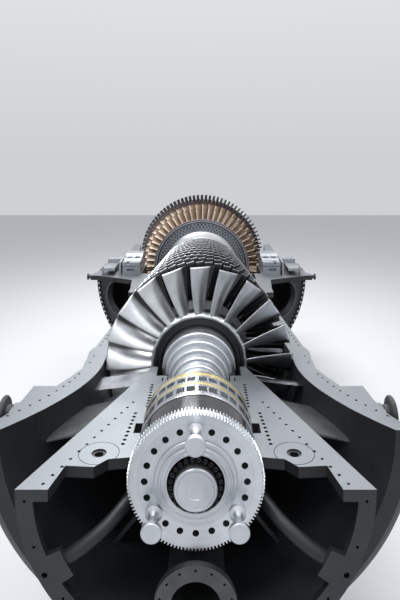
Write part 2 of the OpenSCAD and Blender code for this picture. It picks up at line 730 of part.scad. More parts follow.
module exhaust_casing() color([0.34, 0.35, 0.37]) difference() {
  union() {
    on_axis() lower_half([
      [exhaust_bore(turbine_casing_rear), turbine_casing_rear], [turbine_r + 170, turbine_casing_rear],
      [turbine_r + 170, turbine_casing_rear + 100], [exhaust_bore(turbine_casing_rear) + 60,
          turbine_casing_rear + 130],
      [exhaust_bore(exhaust_rear) + 60, exhaust_rear - 90], [exhaust_bore(exhaust_rear) + 170,
          exhaust_rear - 70],
      [exhaust_bore(exhaust_rear) + 170, exhaust_rear], [exhaust_bore(exhaust_rear), exhaust_rear]]);
    joint_plate([[exhaust_bore(turbine_casing_rear) + 20, turbine_casing_rear], [turbine_r + 200,
        turbine_casing_rear],
      [exhaust_bore(exhaust_rear) + 190, exhaust_rear], [exhaust_bore(exhaust_rear) + 20, exhaust_rear]]);
  }
  on_axis() for (i = [0:17]) rotate([0, 0, (i + 0.5) * 10])
      translate([exhaust_bore(exhaust_rear) + 115, 0, exhaust_rear - 90])
    cylinder(h = 90 + over, r = 15, $fn = small_fn);
}

module exhaust_struts() color([0.36, 0.37, 0.39]) intersection() {
  on_axis() for (a = [18:36:162])
    strut_at(a, hub_housing_r - 30, exhaust_r + 200, turbine_casing_rear + 740, 640, 120);
  on_axis() rotate_extrude($fn = 288)
    polygon([[hub_housing_r + seat, turbine_casing_rear],
             [exhaust_bore(turbine_casing_rear) - seat, turbine_casing_rear],
             [exhaust_bore(exhaust_rear) - seat, exhaust_rear], [hub_housing_r + seat, exhaust_rear]]);
}

module rear_bearing_housing() color([0.36, 0.37, 0.39]) on_axis() lower_half([
  [460, hub_front_s], [hub_housing_r, hub_front_s + 60], [hub_housing_r, hub_rear_s], [300, hub_rear_s],
  [300, hub_rear_s - 40], [hub_housing_r - 60, hub_rear_s - 40],
  [hub_housing_r - 60, rear_bearing_front + rear_bearing_len], [rear_bearing_r + seat,
      rear_bearing_front + rear_bearing_len],
  [rear_bearing_r + seat, rear_bearing_front], [hub_housing_r - 60, rear_bearing_front],
  [hub_housing_r - 60, hub_front_s + 110], [460, hub_front_s + 50]]);

module rear_bearing() color([0.62, 0.64, 0.66]) on_axis() turned([
  [rear_journal_r + run_fit, rear_bearing_front], [rear_bearing_r - 8, rear_bearing_front],
  [rear_bearing_r, rear_bearing_front + 8], [rear_bearing_r, rear_bearing_front + rear_bearing_len - 8],
  [rear_bearing_r - 8, rear_bearing_front + rear_bearing_len], [rear_journal_r + run_fit,
      rear_bearing_front + rear_bearing_len]]);

/* Pieces on the joint plane */

block_w = 410;
block_rise = 190;
block_len = 950;
slot_w = 180;
slot_h = 50;
slot_z = 110;
rib_x = block_w + 40;
rib_t = 50;
wing_x = block_w + 190;
wing_w = 330;
wing_z = 100;
wing_t = 62;

// Side outline of a block from its front face on: slotted foot, lip, pocketed top
block_side = [[0, 0], [block_len, 0], [block_len, 400], [600, 400], [560, 340], [280, 340], [250, 310],
              [-45, 310], [-45, block_rise + 35], [0, block_rise + 10]];

// Machined block on the joint plane with an upright rib and a wing plate beside it
module joint_block(mirrored) at_joint() mirror([mirrored ? 1 : 0, 0, 0])
  translate([hollow_r + 15, flange_front + 10, 0]) difference() {
    union() {
      rotate([90, 0, 90]) linear_extrude(block_w) polygon(block_side);
      translate([block_w - 1, block_len - 300, 0]) cube([wing_x + wing_w - block_w - 60, 300, 250]);
      translate([rib_x, 10, 0]) cube([rib_t, block_len - 20, 300]);
      translate([0, 0, wing_z]) linear_extrude(wing_t)
        polygon([[wing_x, 0], [wing_x + wing_w, 0], [wing_x + wing_w - 140, block_len], [wing_x,
            block_len]]);
      translate([wing_x + wing_w - 60, 30, 0]) cylinder(h = wing_z + wing_t + 25, r = 24, $fn = small_fn);
    }
    translate([(block_w - slot_w) / 2 + 20, -over, slot_z]) cube([slot_w, 120, slot_h]);
    translate([block_w * 0.62, -2 * over - over, block_rise + 60]) cube([60, 160, 200]);
    for (x = [0.12, 0.58]) translate([block_w * x, 330, 270]) cube([block_w * 0.3, 190, 200]);
    translate([wing_x + 60, 240, wing_z - over]) cylinder(h = 200, r = 20, $fn = small_fn);
    translate([wing_x + 60, 480, wing_z - over]) cylinder(h = 200, r = 20, $fn = small_fn);
  }

module left_joint_block() color([0.68, 0.70, 0.73]) joint_block(true);
module right_joint_block() color([0.68, 0.70, 0.73]) joint_block(false);

// Round lifting trunnion seated on a face, disc outwards
module trunnion(neck, disc, reach, lip)
  turned([[0, 0], [neck, 0], [neck, reach - lip - 20], [disc - 15, reach - lip - 8], [disc,
      reach - lip + 8],
          [disc, reach - 12], [disc - 12, reach], [disc * 0.55, reach], [disc * 0.5, reach - 10], [0,
              reach - 10]]);

module inlet_trunnions() color([0.22, 0.23, 0.25]) at_joint() both_sides()
  translate([trunnion_face, trunnion_set, -trunnion_drop]) rotate([0, 90, 0]) trunnion(95, 190, 110, 40);

module casing_trunnions() color([0.30, 0.31, 0.33]) at_joint() both_sides()
  translate([main_joint_w, flange_front + 100, -joint_t / 2]) rotate([0, 90, 0]) trunnion(45, 75, 100, 30);

/* Stands */

// Welded stand under a pair of casing flanges of radius r, from a station on
module stand(r, from, half, spread) {
  bottom = axis_h - r;
  on_axis() rotate([0, 0, 90 - spread]) rotate_extrude(angle = 2 * spread)
    polygon([[r + seat, from], [r + 46, from], [r + 46, from + stand_w], [r + seat, from + stand_w]]);
  for (s = [from + 20, from + stand_w - 50]) difference() {
    translate([0, s - mid_station + 30, 0]) rotate([90, 0, 0]) linear_extrude(30)
      polygon([[-half, foot_t - 1], [half, foot_t - 1], [half, foot_t + 160], [(r + 20) * sin(spread),
          axis_h - (r + 20) * cos(spread)],
               [-(r + 20) * sin(spread), axis_h - (r + 20) * cos(spread)], [-half, foot_t + 160]]);
    on_axis() cylinder(h = exhaust_rear, r = r + 20);
    for (x = [-half * 0.5, half * 0.5]) translate([x, 0, foot_t + 0.36 * bottom]) rotate([90, 0, 0])
      cylinder(h = 4 * exhaust_rear, r = 0.17 * bottom, center = true, $fn = 48);
  }
  for (side = [-1, 1]) {
    translate([side * (half - foot_w / 2) - foot_w / 2, from + stand_w / 2 - foot_w / 2 - mid_station,
        0]) difference() {
      cube([foot_w, foot_w, foot_t]);
      for (x = [0.13, 0.87], y = [0.13, 0.87]) translate([x * foot_w, y * foot_w, -over])
        cylinder(h = foot_t + 2 * over, r = foot_hole_r, $fn = small_fn);
    }
    translate([side * (half - foot_w / 2) - 15, from + stand_w / 2 - mid_station - 250, foot_t - 1])
      rotate([90, 0, 90]) linear_extrude(30) polygon([[0, 0], [500, 0], [370, 0.55 * bottom], [130,
          0.55 * bottom]]);
  }
}

module front_stand() color([0.25, 0.35, 0.50]) 
  stand(bell_flange_r, bell_rear - bell_flange_t, bell_flange_r - 80, 38);
module rear_stand() color([0.25, 0.35, 0.50]) 
  stand(main_flange_r, main_rear - 120, main_flange_r - 600, 36);

/* Rotor */

coupling_step = 360 / coupling_holes;
pin_places = [for (a = [36, 144, 270]) round(a / coupling_step)];
pin_seat = 0.2;

module at_coupling_holes(places) for (i = places) rotate([0, 0, i * coupling_step])
  translate([coupling_pitch_r, 0, coupling_set]) children();

// Outline of the turning gear
module gear_outline() polygon([for (i = [0:gear_teeth - 1], q = [[-0.27, 0], [-0.13, 1], [0.13, 1],
    [0.27, 0]])
  let (r = q[1] > 0 ? gear_tip_r : gear_root_r, a = (i + q[0]) * 360 / gear_teeth) r * [cos(a), sin(a)]]);

module coupling_flange() color([0.78, 0.80, 0.82]) on_axis() difference() {
  union() {
    translate([0, 0, coupling_set]) linear_extrude(flange_t) gear_outline();
    translate([0, 0, coupling_set + 30]) cylinder(h = flange_t + hub_len - 30, r = hub_r, $fn = 128);
  }
  turned([[0, coupling_set - over], [recess_r, coupling_set - over], [recess_r, coupling_set + 22],
          [recess_r - 24, coupling_set + 22], [recess_r - 62, coupling_set + recess_cone_l],
          [nose_r, coupling_set + recess_cone_l + 20], [nose_r, nose_station], [0, nose_station]]);
  at_coupling_holes([0:coupling_holes - 1]) translate([0, 0, -over])
    cylinder(h = coupling_hole_l + over, r = coupling_hole_r, $fn = 48);
}

module coupling_pins() color([0.80, 0.82, 0.84]) on_axis() at_coupling_holes(pin_places)
  turned([[0, -pin_out], [pin_head_r - 8, -pin_out], [pin_head_r, -pin_out + 8], [pin_head_r,
      -pin_out + 40],
          [pin_head_r * 0.6, -pin_out + 66], [pin_neck_r, -pin_out + 90], [pin_neck_r, -90],
          [pin_neck_r + 18, -50], [75, -30], [75, 0], [coupling_hole_r - pin_seat, 0],
          [coupling_hole_r - pin_seat, coupling_hole_l * 0.7], [0, coupling_hole_l * 0.7]]);

module tie_rod_end() color([0.80, 0.82, 0.84]) on_axis()
  turned([[0, coupling_set - tie_rod_out + 3], [78, coupling_set - tie_rod_out + 3], [80,
      coupling_set - tie_rod_out],
          [158, coupling_set - tie_rod_out], [160, coupling_set - tie_rod_out + 4],
          [163, coupling_set - tie_rod_out], [tie_rod_r - 8, coupling_set - tie_rod_out],
          [tie_rod_r, coupling_set - tie_rod_out + 8], [tie_rod_r, nose_station], [0, nose_station]]);

module nose_bolt_ring() color([0.16, 0.17, 0.18]) on_axis() {
  mid = (tie_rod_r + nose_r) / 2;
  turned([[tie_rod_r + 6, nose_station - 14], [nose_r - seat, nose_station - 14], [nose_r - seat,
      nose_station],
          [tie_rod_r + 6, nose_station]]);
  for (i = [0:nose_bolts - 1]) rotate([0, 0, (i + 0.5) * 360 / nose_bolts]) translate([mid, 0,
      nose_station - 84])
    cylinder(h = 75, r = nose_bolt_r, $fn = 6);
}

function collar_r(i) = neck_r + (last_collar_r - neck_r) * pow((i + 1) / collars, 1.6);
function collar_points(i) = let (s = collar_front + i * collar_w, r = collar_r(i),
    q = i > 0 ? collar_r(i - 1) : neck_r)
  [[q + 2, s], [r - collar_edge, s], [r, s + collar_edge], [r, s + collar_w - 16], [r - 7,
      s + collar_w - 16],
   [r - 7, s + collar_w - 8], [r + 2, s + collar_w - 8]];

module front_shaft() color([0.74, 0.76, 0.78]) on_axis()
  turned(concat([[0, hub_rear], [journal_r, hub_rear], [journal_r, bearing_rear + 20], [neck_r,
      bearing_rear + 30],
                 [neck_r, collar_front]], [for (i = [0:collars - 1], p = collar_points(i)) p],
                [[last_collar_r, disc_front], [0, disc_front]]));

module first_disc() color([0.30, 0.31, 0.33]) on_axis()
  turned([[0, disc_front], [last_collar_r + 14, disc_front], [last_collar_r + 34, disc_front + 30],
          [first_hub_r - row_foot - 30, disc_front + 30], [first_hub_r - row_foot - 18, disc_front - 12],
          [first_hub_r - row_foot, disc_front - 12], [first_hub_r - row_foot, disc_rear], [0, disc_rear]]);

// Section outline of a first row blade: chord fraction and side, then a point on the skin
section = [for (u = [-0.5, -0.36, -0.1, 0.2, 0.5]) [u, 1], for (u = [0.2, -0.1, -0.36]) [u, -1]];
sections = 6;
function skin(u, side, t) = 46 * (1 - 4 * u * u) + side * t / 2 * sqrt(1 - 4 * u * u + 0.004);
function first_point(f, u, side) = let (
    g = first_root_angle + (first_tip_angle - first_root_angle) * pow(f, 0.85),
    c = first_root_chord + (first_tip_chord - first_root_chord) * f,
    t = first_root_t + (first_tip_t - first_root_t) * f,
    v = skin(u, side, t) * (1 - 0.45 * f), y = u * c * sin(g) + v * cos(g), a = first_lean * f,
    r = first_hub_r - 6 + (first_tip_r - first_hub_r + 6) * f)
  [r * cos(a) - y * sin(a), r * sin(a) + y * cos(a), first_mid + u * c * cos(g) - v * sin(g)];

module first_blade() {
  n = len(section);
  points = [for (i = [0:sections], q = section) first_point(i / sections, q[0], q[1])];
  sides = [for (i = [0:sections - 1], j = [0:n - 1]) let (a = i * n + j, b = i * n + (j + 1) % n)
           each [[a, b + n, b], [a, a + n, b + n]]];
  polyhedron(points, concat([[for (j = [0:n - 1]) j]], [[for (j = [n - 1:-1:0]) sections * n + j]], sides));
}

module first_row_blades() color([0.70, 0.72, 0.74]) on_axis() {
  translate([0, 0, disc_front + 10]) difference() {
    linear_extrude(first_disc_w - 20) polygon(flats(first_blades, first_hub_r));
    translate([0, 0, -over])
      cylinder(h = first_disc_w + over, r = first_hub_r - row_foot + 2 * seat, $fn = 288);
  }
  for (i = [0:first_blades - 1]) rotate([0, 0, i * 360 / first_blades]) first_blade();
}

function ring_seat(s, half, r) = [[r, s - half - seat], [r - row_foot, s - half - seat],
                                  [r - row_foot, s + half + seat], [r, s + half + seat]];

module compressor_drum() color([0.55, 0.57, 0.59]) on_axis() turned(concat(
  [[0, disc_rear], [first_hub_r - 15, disc_rear]],
  [for (k = [0:rows - 1], p = ring_seat(row_station(k), row_width(k) / 2, comp_hub(row_station(k)))) p],
  [[comp_hub(drum_rear), drum_rear], [0, drum_rear]]));

module compressor_rows_front() color([0.72, 0.74, 0.76]) on_axis() for (k = [0:3]) compressor_row(k);
module compressor_rows_middle() color([0.72, 0.74, 0.76]) on_axis() for (k = [4:7]) compressor_row(k);
module compressor_rows_rear() color([0.72, 0.74, 0.76]) on_axis() for (k = [8:rows - 1]) compressor_row(k);

module torque_tube() color([0.76, 0.78, 0.80]) on_axis() turned([
  [0, drum_rear], [torque_r + 30, drum_rear], [torque_r + 30, drum_rear + 70], [torque_r, drum_rear + 130],
  [torque_r, turbine_front - 340], [torque_r + 18, turbine_front - 220], [torque_r + 62,
      turbine_front - 110],
  [torque_r + 90, turbine_front - 60], [torque_r + 90, turbine_front], [0, turbine_front]]);

module turbine_drum() color([0.40, 0.38, 0.40]) on_axis() turned(concat(
  [[0, turbine_front], [torque_r + 110, turbine_front], [seal_r - 85, turbine_front + 15],
   [seal_r - 85, turbine_front + 60], [seal_r - 66, turbine_front + 60], [seal_r - 66, turbine_front - 35],
   [seal_r - 42, turbine_front - 35], [seal_r - 42, turbine_front - 5], [seal_r - 28, turbine_front - 5],
   [seal_r - 28, turbine_front - 35], [seal_r, turbine_front - 35], [seal_r, turbine_front - 35 + seal_w],
   [turbine_hub(0) - 30, turbine_front - 35 + seal_w]],
  [for (k = [0:3], p = ring_seat(turbine_station(k), turbine_width[k] * turbine_pitch / 2,
      turbine_hub(k))) p],
  [[turbine_hub(3) - 30, turbine_rear], [0, turbine_rear]]));

module turbine_row_1() color([0.78, 0.66, 0.50]) turbine_blade_ring(0);
module turbine_row_2() color([0.80, 0.70, 0.56]) turbine_blade_ring(1);
module turbine_row_3() color([0.47, 0.41, 0.43]) turbine_blade_ring(2);
module turbine_row_4() color([0.16, 0.15, 0.16]) turbine_blade_ring(3);

module rear_shaft() color([0.70, 0.72, 0.74]) on_axis() turned([
  [0, turbine_rear], [640, turbine_rear], [640, turbine_rear + 50], [430, turbine_rear + 170],
  [430, rear_bearing_front - 170], [rear_journal_r + 70, rear_bearing_front - 120],
  [rear_journal_r + 70, rear_bearing_front - 25], [rear_journal_r, rear_bearing_front - 15],
  [rear_journal_r, rear_bearing_front + rear_bearing_len + 15], [rear_journal_r - 20,
      rear_bearing_front + rear_bearing_len + 25],
  [rear_journal_r - 20, rear_shaft_end - 25], [rear_journal_r - 45, rear_shaft_end], [0, rear_shaft_end]]);

inlet_outer_casing();
inlet_inner_casing();
inlet_struts();
lower_nozzle();
front_bearing();
bearing_seal_rings();
inlet_guide_vanes();
compressor_casing();
compressor_vanes();
combustor_casing();
combustor_port_sleeves();
turbine_casing();
turbine_vanes();
exhaust_casing();
exhaust_struts();
rear_bearing_housing();
rear_bearing();
left_joint_block();
right_joint_block();
inlet_trunnions();
casing_trunnions();
front_stand();
rear_stand();
coupling_flange();
coupling_pins();
tie_rod_end();
nose_bolt_ring();
front_shaft();
first_disc();
first_row_blades();
compressor_drum();
compressor_rows_front();
compressor_rows_middle();
compressor_rows_rear();
torque_tube();
turbine_drum();
turbine_row_1();
turbine_row_2();
turbine_row_3();
turbine_row_4();
rear_shaft();
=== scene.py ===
# %% [markdown]
# # A gas turbine laid open for assembly
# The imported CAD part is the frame. This script gives it its looks: the surfaces that a lathe, a mill,
# a foundry and a blade shop leave behind, and the small pieces that the CAD part leaves out.
# Everything is worked out from sizes in metres, in the frame of the part: X to the right seen from the
# air inlet, Y along the shaft towards the exhaust, Z up from the floor.

# %% load the frame
import math
import bpy
import numpy as np
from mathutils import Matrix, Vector


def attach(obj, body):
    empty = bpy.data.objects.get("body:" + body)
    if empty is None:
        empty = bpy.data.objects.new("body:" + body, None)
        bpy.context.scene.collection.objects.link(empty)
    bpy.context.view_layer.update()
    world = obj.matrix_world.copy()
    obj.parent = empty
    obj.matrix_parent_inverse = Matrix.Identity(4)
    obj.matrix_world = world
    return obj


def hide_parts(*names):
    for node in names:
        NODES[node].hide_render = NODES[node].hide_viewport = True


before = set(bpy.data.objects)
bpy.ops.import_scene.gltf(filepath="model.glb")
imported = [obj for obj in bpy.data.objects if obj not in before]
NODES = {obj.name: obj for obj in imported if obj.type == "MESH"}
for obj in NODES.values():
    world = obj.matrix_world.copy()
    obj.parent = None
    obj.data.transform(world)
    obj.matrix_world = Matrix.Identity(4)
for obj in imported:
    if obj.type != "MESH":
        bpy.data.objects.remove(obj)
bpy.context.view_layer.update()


# %% [markdown]
# ## Sizes that several steps share
# A station is a distance along the shaft, counted from the front face of the inner inlet casing.
# Radii are counted from the shaft axis. The values are those of the CAD part.

# %% shared sizes
AXIS_H = 3.1                                # height of the shaft axis over the floor
MID = 5.9825                                # station of the frame's origin

FIRST_COUNT, FIRST_STATION = 20, 2.900      # the first row: blades and middle of the row
FIRST_HUB, FIRST_TIP = 0.648, 1.292

ROWS_FROM, ROWS_TO = 3.380, 7.351           # the twelve small rows: first and last station
ROW_HUBS = (0.715, 0.855)                   # hub radius of the first and the last of them
ROW_TIPS = (1.268, 0.975)                   # tip radius of the first and the last of them
ROW_PITCH, PITCH_LOSS = 0.455, 0.0094       # row k stands PITCH k - LOSS k (k - 1) behind the first
ROW_COUNT, COUNT_STEP = 56, 5               # blades of the first of them, and how many more in the next

TURBINE_FROM, TURBINE_PITCH = 9.261, 0.365  # station of the first turbine row, and from row to row
TURBINE_HUB, HUB_STEP = 1.105, 0.028        # its hub radius, and how much less in the next row
TURBINE_TIP, TIP_STEP = 1.420, 0.093        # its tip radius, and how much more in the next row

ROOT_SINK = 0.004                           # how far a blade reaches down into its foot ring
FOOT_DEPTH = 0.0448                         # thickness of a foot ring
print("shaft axis", AXIS_H, "m up; small rows from station", ROWS_FROM, "to", ROWS_TO, "m")


# %% [markdown]
# ## Camera
# The joint plane of the casing is level and the shaft runs straight away from the camera, so the place
# of the camera follows from where level lines meet: it looks level along the shaft from 2.9 m above it,
# with the picture shifted down, which keeps upright things upright.

# %% camera
EYE = (0.079, -4.578 - MID, AXIS_H + 2.9)   # a little right of the shaft, before the part and above it
SENSOR_MM = 36.0
FOCAL_PX, TALL_PX = 533, 600                # focal length and height of the picture in its own pixels

cam_data = bpy.data.cameras.new("camera")
cam = bpy.data.objects.new("camera", cam_data)
bpy.context.scene.collection.objects.link(cam)
cam.location = EYE
cam.rotation_euler = (math.pi / 2, 0, 0)
cam_data.sensor_width = SENSOR_MM
cam_data.lens = SENSOR_MM * FOCAL_PX / TALL_PX
cam_data.shift_x, cam_data.shift_y = -0.008, -0.2467
cam_data.clip_end = 200
cam_data.dof.use_dof = False
bpy.context.scene.camera = cam
print("camera at", [round(v, 3) for v in EYE], "lens", round(cam_data.lens, 2), "mm")


# %% [markdown]
# ## Floor
# A plain pale floor shows the part alone. It gives off a little light of its own, so that it stays even
# under the soft lamps.

# %% floor
FLOOR_HALF = 40


def floor_material():
    """Matt pale grey with a faint glow."""
    material = bpy.data.materials.new("floor_pale")
    material.use_nodes = True
    sockets = material.node_tree.nodes["Principled BSDF"].inputs
    sockets["Base Color"].default_value = (0.72, 0.73, 0.75, 1)
    sockets["Roughness"].default_value = 0.85
    sockets["Specular IOR Level"].default_value = 0.1
    sockets["Emission Color"].default_value = (0.93, 0.95, 1.0, 1)
    sockets["Emission Strength"].default_value = 0.22
    return material


floor_mesh = bpy.data.meshes.new("floor")
floor_corners = [(x * FLOOR_HALF, y * FLOOR_HALF, 0) for x, y in ((-1, -1), (1, -1), (1, 1), (-1, 1))]
floor_mesh.from_pydata(floor_corners, [], [(0, 1, 2, 3)])
floor_mesh.materials.append(floor_material())
floor = bpy.data.objects.new("floor", floor_mesh)
bpy.context.scene.collection.objects.link(floor)
print("floor:", 2 * FLOOR_HALF, "m square")


# %% [markdown]
# ## Background
# What the camera sees behind the part, straight or mirrored in steel, is a pale grey that grows lighter
# upwards. What lights the part from all round is an even, weaker light, so hollows stay dark.

# %% background
SKY = ((0.0, (0.62, 0.63, 0.65)), (0.75, (0.95, 0.96, 0.98)))   # tone at the horizon and high up

world = bpy.data.worlds.new("hall")
bpy.context.scene.world = world
world.use_nodes = True
wn, wl = world.node_tree.nodes, world.node_tree.links

direction = wn.new("ShaderNodeTexCoord").outputs["Generated"]
split = wn.new("ShaderNodeSeparateXYZ")
sky = wn.new("ShaderNodeValToRGB")
wl.new(direction, split.inputs[0])
wl.new(split.outputs["Z"], sky.inputs["Fac"])
for stop, (position, color) in zip(sky.color_ramp.elements, SKY):
    stop.position = position
    stop.color = (*color, 1)
seen = wn.new("ShaderNodeBackground")
wl.new(sky.outputs["Color"], seen.inputs["Color"])
seen.inputs["Strength"].default_value = 1.0

around = wn["Background"]
around.inputs["Color"].default_value = (0.92, 0.95, 1.0, 1)
around.inputs["Strength"].default_value = 0.30

path = wn.new("ShaderNodeLightPath")
either = [wn.new("ShaderNodeMath") for _ in range(2)]
for node in either:
    node.operation = "MAXIMUM"
wl.new(path.outputs["Is Camera Ray"], either[0].inputs[0])
wl.new(path.outputs["Is Glossy Ray"], either[0].inputs[1])
wl.new(either[0].outputs[0], either[1].inputs[0])
wl.new(path.outputs["Is Transmission Ray"], either[1].inputs[1])

mix = wn.new("ShaderNodeMixShader")
wl.new(either[1].outputs[0], mix.inputs["Fac"])
wl.new(around.outputs["Background"], mix.inputs[1])
wl.new(seen.outputs["Background"], mix.inputs[2])
wl.new(mix.outputs["Shader"], wn["World Output"].inputs["Surface"])
print("background nodes:", len(wn))


# %% [markdown]
# ## Lamps
# The hall's light comes from rows of lamps high above, so wide soft lamps hang over the machine, a
# little to the left, with a weaker row to the right. They are dimmer towards the camera, because the
# near end of the shaft is bright steel.

# %% lamps
LAMPS = ((-9.0, 225), (-3.0, 365), (3.0, 480), (9.0, 520))     # place along the shaft, and power in watts
FILL_SHARE = 0.34                                               # power of the right row against the left


def area_light(name, place, aim, size, power):
    """A rectangular soft light at place, facing aim."""
    data = bpy.data.lights.new(name, "AREA")
    data.shape = "RECTANGLE"
    data.size, data.size_y = size
    data.energy = power
    ob = bpy.data.objects.new(name, data)
    ob.location = place
    ob.rotation_euler = (Vector(aim) - Vector(place)).to_track_quat("-Z", "Y").to_euler()
    bpy.context.scene.collection.objects.link(ob)


for i, (y, power) in enumerate(LAMPS):
    area_light(f"lamp_row_{i}", (-2.0, y, 11.5), (0.0, y, 3.0), (1.6, 4.6), power)
    area_light(f"lamp_fill_{i}", (4.5, y, 12.0), (0.5, y, 3.0), (1.2, 4.0), FILL_SHARE * power)
bpy.context.scene.view_settings.view_transform = "Standard"
print("lamps:", 2 * len(LAMPS))


# %% [markdown]
# ## Surfaces
# Three kinds of surface cover the machine. Turned and milled steel is bright and carries fine tool
# marks, cast and painted housings are dark and slightly pebbled, and the hot blades carry coatings.
# Each finish is mixed from noise in the object's own coordinates, so it sits still on the piece.

# %% shader helpers
STEP = 0.0005               # width of a step from 0 to 1, in metres


def scaled(color, share):
    """A colour made darker or lighter."""
    return tuple(c * share for c in color)


class Mixer:
    """A thin layer over a material's node tree: each call adds one node and returns its output."""

    def __init__(self, name):
        self.material = bpy.data.materials.new(name)
        self.material.use_nodes = True
        self.nodes, self.links = self.material.node_tree.nodes, self.material.node_tree.links
        self.shader = self.nodes["Principled BSDF"]
        self.coord = self.nodes.new("ShaderNodeTexCoord").outputs["Object"]
        xyz = self.nodes.new("ShaderNodeSeparateXYZ")
        self.links.new(self.coord, xyz.inputs[0])
        self.across, self.along, self.up = (xyz.outputs[k] for k in "XYZ")

    def feed(self, socket, value):
        """Gives a socket a number, a colour or the output of another node."""
        if isinstance(value, (int, float)):
            socket.default_value = value
        elif isinstance(value, tuple):
            socket.default_value = (*value, 1)
        else:
            self.links.new(value, socket)

    def math(self, operation, a, b=0.0, clamp=False):
        """One step of arithmetic; with clamp the result is kept between 0 and 1."""
        node = self.nodes.new("ShaderNodeMath")
        node.operation = operation
        node.use_clamp = clamp
        self.feed(node.inputs[0], a)
        self.feed(node.inputs[1], b)
        return node.outputs[0]

    def add(self, a, b, clamp=False):
        return self.math("ADD", a, b, clamp)

    def sub(self, a, b, clamp=False):
        return self.math("SUBTRACT", a, b, clamp)

    def mul(self, a, b, clamp=False):
        return self.math("MULTIPLY", a, b, clamp)

    def div(self, a, b, clamp=False):
        return self.math("DIVIDE", a, b, clamp)

    def line(self, value, slope, base):
        """base + slope * value."""
        return self.add(self.mul(value, slope), base)

    def rest(self, value):
        """1 - value."""
        return self.sub(1.0, value)

    def stirred(self, value, noise, amount):
        """A value pushed up and down by a noise, kept between 0 and 1."""
        return self.add(value, self.mul(self.sub(noise, 0.5), amount), clamp=True)

    def above(self, value, limit):
        """1 where value is over limit, 0 below, with a narrow step."""
        return self.mul(self.sub(value, limit), 1 / STEP, clamp=True)

    def behind(self, station):
        """Distance behind a station, towards the exhaust."""
        return self.sub(self.along, station - MID)

    def radius(self):
        """Distance from the shaft axis."""
        z = self.sub(self.up, AXIS_H)
        return self.math("SQRT", self.add(self.mul(self.across, self.across), self.mul(z, z)))

    def noise(self, scale, detail, rough, stretch=None, vector=None):
        """Cloudy noise between 0 and 1, of the object's own coordinates or of another vector."""
        node = self.nodes.new("ShaderNodeTexNoise")
        node.inputs["Scale"].default_value = scale
        node.inputs["Detail"].default_value = detail
        node.inputs["Roughness"].default_value = rough
        vector = vector or self.coord
        if stretch:
            mapping = self.nodes.new("ShaderNodeMapping")
            mapping.inputs["Scale"].default_value = stretch
            self.links.new(vector, mapping.inputs["Vector"])
            vector = mapping.outputs["Vector"]
        self.links.new(vector, node.inputs["Vector"])
        return node.outputs["Fac"]

    def ramp(self, value, stops):
        """Runs through the stops, each (position, colour) or (position, grey)."""
        node = self.nodes.new("ShaderNodeValToRGB")
        elements = node.color_ramp.elements
        while len(elements) < len(stops):
            elements.new(0.5)
        for k, (position, color) in enumerate(stops):
            elements[k].position = position
            elements[k].color = (*color, 1) if isinstance(color, tuple) else (color, color, color, 1)
        self.links.new(value, node.inputs["Fac"])
        return node.outputs["Color"]

    def blend(self, share, a, b):
        """Goes from a to b as share goes from 0 to 1."""
        node = self.nodes.new("ShaderNodeMix")
        node.data_type = "RGBA"
        for socket, value in ((node.inputs[0], share), (node.inputs[6], a), (node.inputs[7], b)):
            self.feed(socket, value)
        return node.outputs[2]

    def bump(self, height, strength, distance, under=None):
        """Surface relief from a height, on top of the relief under it."""
        node = self.nodes.new("ShaderNodeBump")
        node.inputs["Strength"].default_value = strength
        node.inputs["Distance"].default_value = distance
        self.links.new(height, node.inputs["Height"])
        if under is not None:
            self.links.new(under, node.inputs["Normal"])
        return node.outputs["Normal"]

    def finish(self, color, metal, rough, normal=None):
        """Sets the shader's own sockets and returns the material."""
        self.feed(self.shader.inputs["Base Color"], color)
        self.feed(self.shader.inputs["Metallic"], metal)
        self.feed(self.shader.inputs["Roughness"], rough)
        if normal is not None:
            self.feed(self.shader.inputs["Normal"], normal)
        return self.material


# %% [markdown]
# Turned steel: a lathe leaves rings, so the tool marks are noise of the distance from the axis and of
# the place along it, squeezed until it reads as fine lines. Handling adds faint cloudy patches.

# %% turned steel
MARK_BUMP = 0.12
# tone of the mirror band: a painted reflection of the dark hollow round it
PAINTED_REFLECTION_TONE = (0.08, 0.085, 0.09)


def turned_steel(name, color, rough, dark=0.75, polish_and_painted_reflection_from=None):
    """Bright steel with fine rings. Behind the station where the mirror polish begins it is polished like
    a mirror, and its dark tone there is a painted reflection of the dark hollow round it."""
    x = Mixer(name)
    comb = x.nodes.new("ShaderNodeCombineXYZ")
    x.links.new(x.radius(), comb.inputs[0])
    x.links.new(x.along, comb.inputs[1])
    rings = x.noise(90, 3, 0.6, vector=comb.outputs[0])
    cloud = x.noise(2.3, 5, 0.6)
    tone = x.ramp(cloud, [(0.35, scaled(color, dark)), (0.62, color)])
    ridge = tuple(min(1, c) for c in scaled(color, 1.12))
    tone = x.blend(x.ramp(rings, [(0.35, 0.0), (0.7, 0.35)]), tone, ridge)
    dull = x.add(x.line(cloud, 0.18, rough - 0.09), x.mul(rings, 0.10))
    if polish_and_painted_reflection_from is not None:
        # painted reflection: behind that station the steel takes the dark tone of the hollow it mirrors
        band = x.above(x.along, polish_and_painted_reflection_from - MID)
        tone = x.blend(band, tone, PAINTED_REFLECTION_TONE)
        dull = x.mul(dull, x.rest(x.mul(band, 0.55)))
    return x.finish(tone, 1.0, dull, x.bump(rings, MARK_BUMP, 0.002))


# %% [markdown]
# Housings are cast and painted nearly black inside; the joint plane and the front ring face are milled
# bare. One material holds all three: where the height is that of the joint plane it is milled steel,
# and where the station is that of the front face it is a darker milled grey, painted shade, since that
# face looks away from the lamps overhead.

# %% cast housing with milled faces
MILL_DEPTH = 0.0012         # a surface this close under the joint plane or the front face is milled


